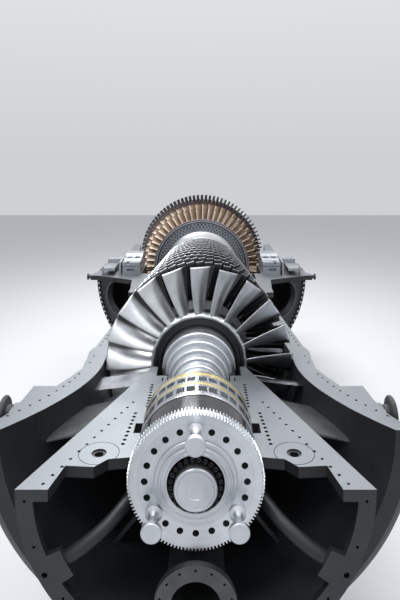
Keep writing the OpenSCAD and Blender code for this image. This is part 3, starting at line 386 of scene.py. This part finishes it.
def housing(name, cast=(0.019, 0.021, 0.024), milled=(0.25, 0.27, 0.29), face=None):
    """A cast skin with a milled joint plane; with face given, the front face has that darker tone,
    painted shade on a milled face that looks away from the lamps.
    """
    x = Mixer(name)
    top = x.above(x.up, AXIS_H - MILL_DEPTH)
    speck = x.noise(60, 5, 0.7)
    cloud = x.noise(1.7, 5, 0.6)
    mill = x.noise(18, 4, 0.6, stretch=(1.0, 14.0, 1.0))

    cast_tone = x.ramp(cloud, [(0.3, scaled(cast, 0.7)), (0.7, scaled(cast, 1.5))])
    top_tone = x.ramp(mill, [(0.3, scaled(milled, 0.86)), (0.75, milled)])
    top_tone = x.blend(x.ramp(cloud, [(0.45, 0.0), (0.75, 0.35)]), top_tone, scaled(milled, 0.72))
    tone = x.blend(top, cast_tone, top_tone)
    bare = top
    if face is not None:
        # painted shade: the milled front face gets a darker tone than the milled joint plane
        front = x.mul(x.above(x.mul(x.along, -1.0), MID - MILL_DEPTH), x.rest(top))
        tone = x.blend(front, tone, x.ramp(cloud, [(0.3, scaled(face, 0.8)), (0.7, face)]))
        bare = x.add(top, front, clamp=True)

    painted = x.rest(bare)
    dull = x.add(x.mul(x.line(mill, 0.20, 0.36), bare), x.mul(x.line(speck, 0.25, 0.33), painted))
    pebbles = x.bump(x.mul(speck, painted), 0.25, 0.004)
    return x.finish(tone, x.mul(bare, 0.75), dull, x.bump(mill, 0.04, 0.001, pebbles))


# %% [markdown]
# Blades: forged and polished ones are silver with a soft streak along the span, with painted shade on
# the rear part of each first row blade. In the small rows the ground tips are bright with a painted
# glint, and the blades below them are painted dark as shade. The hot rows carry a sprayed coating,
# tan, purple grey or charcoal, mottled and dull; on the tan rows the leading edges are painted light
# and the part behind them painted shade.

# %% blade finishes
def polished(name, color, rough, dark, rear=None):
    """Ground steel. rear = (station of the row, half its length at the hub, at the tip, hub, tip) paints
    the blades dark behind their middle: painted shade where each one stands in the shade of the next."""
    x = Mixer(name)
    cloud = x.noise(3.1, 5, 0.6)
    streak = x.noise(9, 3, 0.5, stretch=(1.0, 5.0, 1.0))
    tone = x.ramp(cloud, [(0.35, scaled(color, dark)), (0.68, color)])
    # painted shade on the rear part of each blade
    if rear:
        station, half_hub, half_tip, hub, tip = rear
        out = x.div(x.sub(x.radius(), hub), tip - hub, clamp=True)
        part = x.div(x.behind(station), x.line(out, half_tip - half_hub, half_hub))
        shade = x.mul(x.add(part, x.mul(streak, 0.12)), 2.6, clamp=True)
        tone = x.blend(shade, tone, scaled(color, 0.08))
    return x.finish(tone, 1.0, x.line(streak, 0.22, rough - 0.08), x.bump(streak, 0.05, 0.003))


# painted shade: the small blades are painted dark below their tips, as the shade between the crowded
# blades
TIP_SHADE_DEPTH = 0.16             # depth under the tips over which the small blades go dark


def row_tips(name, low, high):
    """Small blades: bright at the ground tips, bare metal with a painted glint, and painted darker down
    to the foot ring as the shade between the crowded blades. The tips lie on a cone, so the depth under a
    tip is the cone's radius at the station less the distance from the axis."""
    x = Mixer(name)
    share = x.div(x.behind(ROWS_FROM), ROWS_TO - ROWS_FROM)
    cone = x.line(share, ROW_TIPS[1] - ROW_TIPS[0], ROW_TIPS[0])
    cloud = x.noise(14, 4, 0.6)
    depth = x.stirred(x.div(x.sub(cone, x.radius()), TIP_SHADE_DEPTH, clamp=True), cloud, 0.04)
    middle = tuple(0.9 * a + 0.1 * b for a, b in zip(low, high))
    # painted glint at the tips, then painted shade down towards the foot ring
    tone = x.ramp(depth, [(0.02, high), (0.05, middle), (0.22, low), (0.6, scaled(low, 0.5))])
    ground = x.rest(x.mul(depth, 12.0, clamp=True))
    dull = x.sub(x.line(cloud, 0.2, 0.62), x.mul(ground, 0.4))
    return x.finish(tone, x.line(ground, 0.25, 0.75), dull)


def coated(name, low, high, rough, metal=0.15, light_and_shade_half_row=None):
    """A sprayed coating. Given half the length of a turbine row, it keeps the high tone on the leading
    edges of the blades as painted light and goes over to the low one and darker behind them, painted
    shade in the passages between the blades."""
    x = Mixer(name)
    patch = x.noise(6.5, 6, 0.65)
    grain = x.noise(120, 3, 0.6)
    tone = x.ramp(patch, [(0.32, low), (0.66, high)])
    if light_and_shade_half_row:
        # painted light on the leading edges and painted shade in the passages behind them
        row = x.math("FRACT", x.div(x.behind(TURBINE_FROM - light_and_shade_half_row), TURBINE_PITCH))
        part = x.stirred(x.div(row, 2 * light_and_shade_half_row / TURBINE_PITCH, clamp=True), patch, 0.25)
        tone = x.ramp(part, [(0.10, high), (0.42, low), (0.9, scaled(low, 0.45))])
    return x.finish(tone, metal, x.line(grain, 0.2, rough - 0.1), x.bump(grain, 0.15, 0.0015))


BAND_FROM, BAND_SPAN = 0.8, 0.5         # the radii that a banded face can tell apart


def banded(name, stops):
    """A turned face whose tone changes with the distance from the axis: the stops give its tones and
    paint light on its lips and steps and shade in the gaps between them.
    """
    x = Mixer(name)
    cloud = x.noise(5.0, 5, 0.6)
    r = x.add(x.radius(), x.mul(x.sub(cloud, 0.5), 0.006))
    tone = x.ramp(x.div(x.sub(r, BAND_FROM), BAND_SPAN, clamp=True),
                  [((radius - BAND_FROM) / BAND_SPAN, color) for radius, color in stops])
    tone = x.blend(x.ramp(cloud, [(0.35, 0.0), (0.75, 0.4)]), tone, (0.07, 0.07, 0.08))
    return x.finish(tone, 0.8, x.line(cloud, 0.25, 0.26))


# %% [markdown]
# ## A finish for every node
# Pieces that come off the same machine in the works share a finish. The nodes of the CAD part only get
# their material here; their shapes stay as they are.

# %% the finishes
# the near-black rings are painted shade in the gaps beside the seal lips, the bright rings painted light
# on the lips
DISC_TONE_LIGHT_SHADE_BANDS = [          # (radius, tone) over the face of the first turbine disc and its seal lips
    (0.90, (0.30, 0.32, 0.35)), (1.09, (0.24, 0.26, 0.29)), (1.115, (0.05, 0.05, 0.06)),
    (1.134, (0.05, 0.05, 0.06)), (1.136, (0.55, 0.56, 0.59)), (1.158, (0.50, 0.51, 0.54)),
    (1.160, (0.05, 0.05, 0.06)), (1.171, (0.06, 0.05, 0.06)), (1.174, (0.42, 0.37, 0.40)),
    (1.20, (0.34, 0.29, 0.32))]
# painted shade on the rear part of each first row blade
SHADE_BEHIND = (2.920, 0.155, 0.103, FIRST_HUB, FIRST_TIP)      # where first row blades go dark

MATS = {
    "outer": housing("outer_casing_skin"),
    # the front face tone of the inner casing is painted shade
    "inner": housing("inner_casing_skin", face=(0.075, 0.08, 0.085)),
    "hot": housing("hot_casing_skin", cast=(0.014, 0.015, 0.017), milled=(0.25, 0.265, 0.285)),
    "strut": coated("strut_paint", (0.05, 0.053, 0.057), (0.09, 0.095, 0.10), 0.42, 0.3),
    "nozzle": coated("nozzle_paint", (0.07, 0.075, 0.08), (0.12, 0.125, 0.13), 0.4, 0.4),
    "bright": turned_steel("bright_turned_steel", (0.70, 0.73, 0.76), 0.32),
    "coupling": turned_steel("coupling_steel", (0.77, 0.80, 0.83), 0.28, polish_and_painted_reflection_from=0.245),
    "journal": turned_steel("journal_steel", (0.46, 0.48, 0.51), 0.20),
    # painted shade: the drum and rear shaft are turned steel given a near-black tone, as they lie in
    # shade deep among the blade rows
    "drum": turned_steel("drum_steel_painted_shade", (0.10, 0.105, 0.11), 0.40),
    "block": turned_steel("block_steel", (0.42, 0.44, 0.47), 0.36),
    "tube": turned_steel("tube_steel", (0.72, 0.74, 0.77), 0.46, 0.88),
    "disc": turned_steel("dark_disc_steel", (0.075, 0.078, 0.082), 0.42),
    "black": coated("blackened_bolts", (0.012, 0.012, 0.013), (0.03, 0.03, 0.032), 0.4, 0.6),
    "blade": polished("polished_blades", (0.70, 0.73, 0.76), 0.34, 0.72, rear=SHADE_BEHIND),
    "small": row_tips("small_blades", (0.020, 0.021, 0.024), (0.62, 0.65, 0.68)),
    "vanes": polished("stator_vanes", (0.20, 0.21, 0.23), 0.34, 0.4),
    "brass": polished("brass_rings", (0.72, 0.60, 0.26), 0.28, 0.8),
    "tan": coated("tan_coating", (0.50, 0.36, 0.26), (0.95, 0.85, 0.72), 0.5, light_and_shade_half_row=0.092),
    "tan_light": coated("light_tan_coating", (0.56, 0.42, 0.31), (0.96, 0.88, 0.77), 0.5, light_and_shade_half_row=0.095),
    "purple": coated("purple_grey_coating", (0.10, 0.075, 0.08), (0.20, 0.155, 0.16), 0.5),
    "char": coated("charcoal_coating", (0.008, 0.008, 0.009), (0.022, 0.021, 0.022), 0.5),
    "turbine_disc": banded("turbine_disc_skin", DISC_TONE_LIGHT_SHADE_BANDS),
    "stand": coated("stand_paint", (0.02, 0.06, 0.14), (0.035, 0.09, 0.19), 0.45, 0.0),
}
print("finishes:", len(MATS))


# %% [markdown]
# Every node is matched with one finish. A node that the list forgets stops the script here.

# %% give every node its finish
USE = {
    "outer": ["inlet_outer_casing", "compressor_casing"],
    "inner": ["inlet_inner_casing"],
    "hot": ["combustor_casing", "turbine_casing", "exhaust_casing", "rear_bearing_housing"],
    "strut": ["inlet_struts", "combustor_port_sleeves", "exhaust_struts", "inlet_trunnions",
              "casing_trunnions"],
    "nozzle": ["lower_nozzle"],
    "journal": ["front_bearing", "rear_bearing"],
    "brass": ["bearing_seal_rings"],
    "vanes": ["inlet_guide_vanes", "compressor_vanes"],
    "block": ["left_joint_block", "right_joint_block"],
    "stand": ["front_stand", "rear_stand"],
    "coupling": ["coupling_flange"],
    "bright": ["coupling_pins", "tie_rod_end", "front_shaft"],
    "black": ["nose_bolt_ring"],
    "disc": ["first_disc"],
    "blade": ["first_row_blades"],
    "drum": ["compressor_drum", "rear_shaft"],
    "small": ["compressor_rows_front", "compressor_rows_middle", "compressor_rows_rear"],
    "tube": ["torque_tube"],
    "turbine_disc": ["turbine_drum"],
    "tan": ["turbine_vanes", "turbine_row_1"],
    "tan_light": ["turbine_row_2"],
    "purple": ["turbine_row_3"],
    "char": ["turbine_row_4"],
}
FINISH_OF = {node: finish for finish, nodes in USE.items() for node in nodes}
for name, ob in NODES.items():
    ob.data.materials.clear()
    ob.data.materials.append(MATS[FINISH_OF[name]])
print("nodes dressed:", len(FINISH_OF))


# %% [markdown]
# ## Making a surface from numbers
# Every new piece is a grid of points worked out at once with arrays: a row of the grid is a closed
# outline, and the rows follow each other along the piece. Closing the two ends makes a solid skin.

# %% grid helpers
def to_frame(x, down, station):
    """Turns (across, down from the axis, station) into the frame's X, Y, Z."""
    return np.stack(np.broadcast_arrays(x, station - MID, AXIS_H - down), axis=-1)


def closed_grid(copies, rows, cols):
    """Faces of `copies` grids of rows x cols points, wrapped along cols, with fans over both ends.
    Each grid's points are followed by the middles of its first and its last row."""
    base = (np.arange(copies) * (rows * cols + 2))[:, None, None]
    i = np.arange(rows - 1)[:, None] * cols
    j = np.arange(cols)[None, :]
    k = (j + 1) % cols
    quads = np.stack([i + j, i + k, i + k + cols, i + j + cols], axis=-1).reshape(1, -1, 4) + base
    root, tip, last = rows * cols, rows * cols + 1, (rows - 1) * cols
    here = np.arange(cols)
    beside = (here + 1) % cols
    low = np.stack([np.full(cols, root), beside, here], axis=-1)
    high = np.stack([np.full(cols, tip), last + here, last + beside], axis=-1)
    tris = np.concatenate([low, high])[None] + base
    return quads.reshape(-1, 4), tris.reshape(-1, 3)


def outward(verts, quads, tris):
    """Turns all faces over if the skin's signed volume is negative."""
    triangles = [quads[:, [0, 1, 2]], quads[:, [0, 2, 3]]] + ([] if tris is None else [tris])
    p = verts[np.concatenate(triangles)] - verts.mean(0)
    if np.einsum("ij,ij->i", p[:, 0], np.cross(p[:, 1], p[:, 2])).sum() < 0:
        quads = quads[:, ::-1]
        tris = None if tris is None else tris[:, ::-1]
    return quads, tris


def joined(skins):
    """One mesh from several skins, (verts, quads, tris) or (verts, quads), each turned the right way."""
    verts, quads, tris, at = [], [], [], 0
    for v, q, *t in skins:
        q, t = outward(v, q, t[0] if t else None)
        verts.append(v)
        quads.append(q + at)
        if t is not None:
            tris.append(t + at)
        at += len(v)
    return np.concatenate(verts), np.concatenate(quads), np.concatenate(tris) if tris else None


def mesh_from(name, verts, quads, tris, smooth):
    """A Blender mesh filled straight from arrays of corners, four-sided faces and triangles."""
    faces = [quads] if tris is None else [quads, tris]
    sizes = np.concatenate([np.full(len(f), f.shape[1]) for f in faces])
    corners = np.concatenate([f.reshape(-1) for f in faces]).astype(np.int32)
    mesh = bpy.data.meshes.new(name)
    mesh.vertices.add(len(verts))
    mesh.vertices.foreach_set("co", verts.astype(np.float32).ravel())
    mesh.loops.add(len(corners))
    mesh.loops.foreach_set("vertex_index", corners)
    mesh.polygons.add(len(sizes))
    mesh.polygons.foreach_set("loop_start", np.concatenate([[0], np.cumsum(sizes)[:-1]]).astype(np.int32))
    mesh.polygons.foreach_set("use_smooth", np.full(len(sizes), smooth))
    mesh.update(calc_edges=True)
    mesh.validate()
    print(name, "triangles:", int((sizes - 2).sum()))
    return mesh


def add_piece(name, skins, finish, body, node=None, smooth=True):
    """A piece at the origin that rides on a body; with node given it takes that CAD node's place."""
    mesh = mesh_from(name, *joined(skins), smooth)
    mesh.materials.append(MATS[finish])
    piece = bpy.data.objects.new(name, mesh)
    bpy.context.scene.collection.objects.link(piece)
    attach(piece, body)
    if node:
        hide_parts(node)


# %% [markdown]
# Things that go round the shaft are rings: a closed outline in (radius, station), carried once round.

# %% rings
def ring_skin(profile, sides=180, ripple=None):
    """Skin of a full ring: the closed (radius, station) profile is carried round the shaft.
    ripple(angle) may be added to the radius of the profile's outermost points."""
    profile = np.asarray(profile, float)
    a = 2 * np.pi * np.arange(sides) / sides
    r = np.repeat(profile[None, :, 0], sides, 0)
    if ripple is not None:
        outer = profile[:, 0] >= profile[:, 0].max() - 1e-6
        r = r + np.where(outer[None, :], ripple(a)[:, None], 0.0)
    station = np.repeat(profile[None, :, 1], sides, 0)
    verts = to_frame(r * np.cos(a)[:, None], r * np.sin(a)[:, None], station)
    points = len(profile)
    i, j = np.meshgrid(np.arange(sides), np.arange(points), indexing="ij")
    i2, j2 = (i + 1) % sides, (j + 1) % points
    corners = [i * points + j, i * points + j2, i2 * points + j2, i2 * points + j]
    return verts.reshape(-1, 3), np.stack(corners, axis=-1).reshape(-1, 4)


# %% [markdown]
# ## Blades
# A blade is a set of wing sections stacked along a radius. Each section has a rounded nose, a thin
# tail and a bow, and the sections turn and shrink from root to tip. That twist is the hardest feature
# of the machine to make, so it is made as one smooth surface and not as flats.

# %% blade surface
def wing_outline(points):
    """Closed outline of a wing section. The angle q runs once round it: u = -cos(q) / 2 goes along the
    chord from nose to tail and back, and w = 0.45 sin(q) (1 - 1.1 u) is the height over the mean line
    as a share of the thickness, fuller at the nose than at the tail."""
    q = 2 * np.pi * np.arange(points) / points
    u = -0.5 * np.cos(q)
    return u, 0.45 * np.sin(q) * (1.0 - 1.1 * u)


def blade_row(count, radii, chord, stagger, thick, bow, station, points, lean=0.0):
    """Blades round the shaft, each skin a function of (f along the span, q round the section):
    y = u c sin g + v cos g and s = station + u c cos g - v sin g, with v = bow (1 - 4 u u) + w t,
    then turned round the shaft by the blade's own angle plus the lean at that radius. c is the chord,
    t the thickness and g the stagger, the angle of the chord to the shaft in degrees."""
    u, w = wing_outline(points)
    radii, chord, stagger, thick, bow, lean = np.broadcast_arrays(radii, chord, stagger, thick, bow, lean)
    g = np.radians(stagger)[:, None]
    v = bow[:, None] * (1 - 4 * u * u) + w * thick[:, None]
    y = u * chord[:, None] * np.sin(g) + v * np.cos(g)
    s = station + u * chord[:, None] * np.cos(g) - v * np.sin(g)
    grid = np.stack([np.repeat(radii[:, None], points, 1), y, s], axis=-1)
    ends = np.stack([grid[0].mean(0), grid[-1].mean(0)])
    r, y, s = np.concatenate([grid.reshape(-1, 3), ends]).T
    leans = np.radians(np.concatenate([np.repeat(lean, points), [lean[0], lean[-1]]]))
    angle = (2 * np.pi * np.arange(count) / count)[:, None] + leans[None]
    verts = to_frame(r * np.cos(angle) - y * np.sin(angle), r * np.sin(angle) + y * np.cos(angle),
                     np.broadcast_to(s, angle.shape))
    return verts.reshape(-1, 3), *closed_grid(count, len(radii), points)


# %% [markdown]
# The first row: twenty long blades, thick and nearly axial at the root, thin and turned across the
# flow at the tip. Their platforms form a ring that rises a little to each root, which gives the
# scalloped bright edge round the dark disc.

# %% first row of blades
f = np.linspace(0, 1, 28)
root = FIRST_HUB - 0.006
first_blades = blade_row(
    FIRST_COUNT, root + (FIRST_TIP - root) * f, chord=0.325 + 0.075 * f, stagger=18 + 41 * f ** 0.85,
    thick=0.044 - 0.033 * f, bow=0.046 * (1 - 0.45 * f), station=FIRST_STATION, lean=2.2 * f, points=28)
PLATFORM_FOOT, PLATFORM_EDGE = 0.6035, FIRST_HUB - 0.004
platform = ring_skin(
    [(PLATFORM_FOOT, 2.744), (PLATFORM_EDGE, 2.742), (FIRST_HUB, 2.746), (FIRST_HUB, 2.92),
     (FIRST_HUB, 3.086), (PLATFORM_EDGE, 3.090), (PLATFORM_FOOT, 3.090)],
    sides=400, ripple=lambda a: 0.010 * np.cos(FIRST_COUNT / 2 * a) ** 2)
add_piece("first_row_twisted", [first_blades, platform], "blade", "rotor",
          node="first_row_blades")


# %% [markdown]
# The twelve rows behind it are short blades. More than a thousand of them show as a thicket of small
# bright tips, so each one gets few faces, but still a rounded nose and a twist.

# %% small compressor rows
def station_of(k):
    """Station of compressor row k: the rows move closer together towards the rear."""
    return ROWS_FROM + ROW_PITCH * k - PITCH_LOSS * k * (k - 1)


def compressor_skins(rows):
    """Blades and foot ring of each row; hub and tip radii run straight from the first to the last."""
    skins = []
    f = np.linspace(0, 1, 5)
    stagger = 36 + 10 * f
    for k in rows:
        s, wide = station_of(k), 0.42 * (ROW_PITCH - 2 * PITCH_LOSS * k)
        share = (s - ROWS_FROM) / (ROWS_TO - ROWS_FROM)
        hub, tip = (first + (last - first) * share for first, last in (ROW_HUBS, ROW_TIPS))
        root, front, back = hub - ROOT_SINK, s - wide / 2, s + wide / 2
        skins.append(blade_row(
            ROW_COUNT + COUNT_STEP * k, root + (tip - root) * f,
            chord=0.60 * wide / np.cos(np.radians(stagger)), stagger=stagger,
            thick=0.013 - 0.007 * f, bow=0.016 - 0.005 * f, station=s, points=10))
        foot = hub - FOOT_DEPTH
        skins.append(ring_skin([(foot, front), (hub, front), (hub, back), (foot, back)]))
    return skins


for part, rows in (("front", range(4)), ("middle", range(4, 8)), ("rear", range(8, 12))):
    add_piece(f"small_blades_{part}", compressor_skins(rows), "small", "rotor",
              node=f"compressor_rows_{part}")


# %% [markdown]
# Turbine blades take the gas round a bend: they are thick and strongly bowed, with the bow on the
# other side than in the compressor. Rows one and two carry a tan coating, three a purple grey one,
# and the last row is charcoal. The last two rows straighten towards their tips.

# %% turbine rows
TWIST = (12, 12, -6, -22)       # degrees from root to tip of each row


def turbine_skins(k, count):
    """Blades and foot ring of turbine row k."""
    s, wide = TURBINE_FROM + TURBINE_PITCH * k, TURBINE_PITCH * (0.50 + 0.02 * k)
    hub, tip = TURBINE_HUB - HUB_STEP * k, TURBINE_TIP + TIP_STEP * k
    root, foot, front, back = hub - ROOT_SINK, hub - FOOT_DEPTH, s - wide / 2, s + wide / 2
    f = np.linspace(0, 1, 11)
    stagger = 28 + 4 * k + TWIST[k] * f
    blades = blade_row(
        count, root + (tip - root) * f, chord=0.90 * wide / np.cos(np.radians(stagger)), stagger=stagger,
        thick=(0.036 - 0.004 * k) * (1 - 0.5 * f), bow=-(0.034 - 0.005 * k) * (1 - 0.35 * f),
        station=s, points=18)
    ring = ring_skin([(foot, front), (root, front), (hub, front + 0.004), (hub, back), (foot, back)],
                     sides=216)
    return [blades, ring]


TURBINE_ROWS = ((54, "tan", "tan_coating"), (54, "tan_light", "tan_coating"),
                (92, "purple", "grey_coating"), (92, "char", "black_coating"))
for k, (count, finish, slot) in enumerate(TURBINE_ROWS):
    add_piece(f"turbine_blades_{k + 1}", turbine_skins(k, count), finish, "rotor",
              node=f"turbine_row_{k + 1}")


# %% [markdown]
# ## Small turned pieces
# Studs, nuts and bolts are turned or six-sided. A profile is carried round its own axis once, and arrays
# set a copy of it at each place on a circle.

# %% small turned pieces
def turned_bits(places, profile, sides=10):
    """Small turned pieces standing out along -Y at places: point (i, j) is at radius profile[i, 0] and
    height profile[i, 1], at angle 2 pi j / sides, with a fan over both ends."""
    profile, places = np.asarray(profile, float), np.asarray(places, float)
    a = 2 * np.pi * np.arange(sides) / sides
    grid = np.stack([profile[:, :1] * np.cos(a), np.repeat(-profile[:, 1:], sides, 1),
                     profile[:, :1] * np.sin(a)], axis=-1)
    ends = [[0, -profile[0, 1], 0], [0, -profile[-1, 1], 0]]
    verts = places[:, None, :] + np.concatenate([grid.reshape(-1, 3), ends])[None]
    return verts.reshape(-1, 3), *closed_grid(len(places), len(profile), sides)


def on_arc(radius, station, angles):
    """Places on a circle about the shaft, at angles in radians counted downwards from the right."""
    return to_frame(radius * np.cos(angles), radius * np.sin(angles), np.full(len(angles), station))


def on_circle(radius, station, count, start):
    """Places all round a circle about the shaft, the first at start degrees."""
    return on_arc(radius, station, np.radians(start) + 2 * np.pi * np.arange(count) / count)


# %% [markdown]
# The combustor casing is closed by a ring of studs with nuts on its front flange.

# %% studs of the combustor flange
STUD_COUNT, STUD_CIRCLE, FLANGE_FACE = 65, 2.405, 7.951
stud = [(0.020, -0.002), (0.020, 0.062), (0.017, 0.068), (0.010, 0.070)]
nut = [(0.034, -0.002), (0.036, 0.004), (0.036, 0.034), (0.031, 0.038)]
places = on_arc(STUD_CIRCLE, FLANGE_FACE, np.radians(np.linspace(4, 176, STUD_COUNT)))
add_piece("flange_studs", [turned_bits(places, stud)], "bright", "casing")
add_piece("flange_nuts", [turned_bits(places, nut, 6)], "black", "casing", smooth=False)


# %% [markdown]
# The face of the first turbine disc is held by three rings of bolts, each turned half a step against
# the ring before it. The face is slightly conical, so the outer rings stand a little further back.

# %% bolts of the turbine disc
DISC_CIRCLES, DISC_BOLTS = (0.940, 0.998, 1.056), 72
DISC_FACE, FACE_RADIUS, FACE_FALL = 8.901, 0.91, 0.073  # station at that radius, and slope from there
disc_bolt = [(0.019, -0.004), (0.019, 0.015), (0.015, 0.019)]
places = np.concatenate([
    on_circle(r, DISC_FACE + FACE_FALL * (r - FACE_RADIUS), DISC_BOLTS, start=(i % 2) * 180 / DISC_BOLTS)
    for i, r in enumerate(DISC_CIRCLES)])
add_piece("turbine_disc_bolts", [turned_bits(places, disc_bolt, 6)], "black", "rotor",
          smooth=False)


# %% [markdown]
# In the middle of the coupling sits a turned ring with two steps that centres the mating shaft. It
# fills the recess of the flange and stands a little proud of it. Inside it a ring of socket bolts
# closes round the tie rod.

# %% middle of the coupling
centre_ring = ring_skin(
    [(0.2560, 0.0700), (0.2700, 0.0700), (0.2760, 0.0820), (0.3020, 0.0820), (0.3120, 0.0900),
     (0.3260, 0.0900), (0.3360, 0.0820), (0.3660, 0.0820), (0.3715, 0.0875), (0.3715, 0.1318),
     (0.3465, 0.1318), (0.3095, 0.2050), (0.2505, 0.2050), (0.2505, 0.0760)], sides=240)
add_piece("coupling_centre_ring", [centre_ring], "bright", "rotor", smooth=False)

NOSE_CIRCLE, NOSE_BOLTS, NOSE_SEAT = 0.219, 24, 0.165
PLATE_INNER, PLATE_OUTER, PLATE_BACK = 0.1945, 0.2498, NOSE_SEAT + 0.02
socket_bolt = [(0.015, -0.008), (0.015, 0.074), (0.022, 0.074), (0.022, 0.107), (0.0195, 0.110),
               (0.012, 0.110), (0.011, 0.094)]
nose_bolts = turned_bits(on_circle(NOSE_CIRCLE, NOSE_SEAT, NOSE_BOLTS, start=7.5), socket_bolt, 20)
plate = ring_skin([(PLATE_INNER, NOSE_SEAT), (PLATE_OUTER, NOSE_SEAT),
                   (PLATE_OUTER, PLATE_BACK), (PLATE_INNER, PLATE_BACK)])
add_piece("nose_bolts", [nose_bolts, plate], "black", "rotor", node="nose_bolt_ring")


# %% [markdown]
# ## Bellmouth
# The bellmouth is bored out smooth: a cutter with its curve, 3 mm smaller, takes away what the pads of
# the lifting trunnions leave standing inside it.

# %% bellmouth bored smooth
THROAT, THROAT_STATION = 1.3136, 2.70       # radius where the flare begins, and where that is
FLARE, FLARE_LENGTH, FLARE_POWER = 0.757, 1.72, 1.9
CUT_FROM, CUT_TO, CUT_INNER, CUT_GAP = 1.30, 1.66, 1.25, 0.003


def bell_radius(station):
    """Inner radius of the bellmouth: the throat radius plus the flare, a power of the distance."""
    return THROAT + FLARE * np.clip((THROAT_STATION - station) / FLARE_LENGTH, 0, None) ** FLARE_POWER


def bored(node, profile, name, body):
    """A copy of a node's surface with a solid of revolution cut out of it, in place of the node."""
    piece = bpy.data.objects.new(name, NODES[node].data.copy())
    bpy.context.scene.collection.objects.link(piece)
    verts, quads, _ = joined([ring_skin(profile, sides=360)])
    cutter_mesh = bpy.data.meshes.new("cutter")
    cutter_mesh.from_pydata(verts.tolist(), [], quads.tolist())
    cutter = bpy.data.objects.new("cutter", cutter_mesh)
    bpy.context.scene.collection.objects.link(cutter)
    cut = piece.modifiers.new("cut", "BOOLEAN")
    cut.operation, cut.solver, cut.object = "DIFFERENCE", "EXACT", cutter
    result = bpy.data.meshes.new_from_object(piece.evaluated_get(bpy.context.evaluated_depsgraph_get()))
    piece.modifiers.clear()
    piece.data = result
    result.name = name
    bpy.data.objects.remove(cutter)
    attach(piece, body)
    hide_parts(node)
    print(name, "faces before and after:", len(NODES[node].data.polygons), len(result.polygons))


wall = [(float(bell_radius(s)) - CUT_GAP, float(s)) for s in np.linspace(CUT_FROM, CUT_TO, 13)]
bored("inlet_outer_casing", [(CUT_INNER, CUT_FROM)] + wall + [(CUT_INNER, CUT_TO)],
      "inlet_casing_bored", "casing")
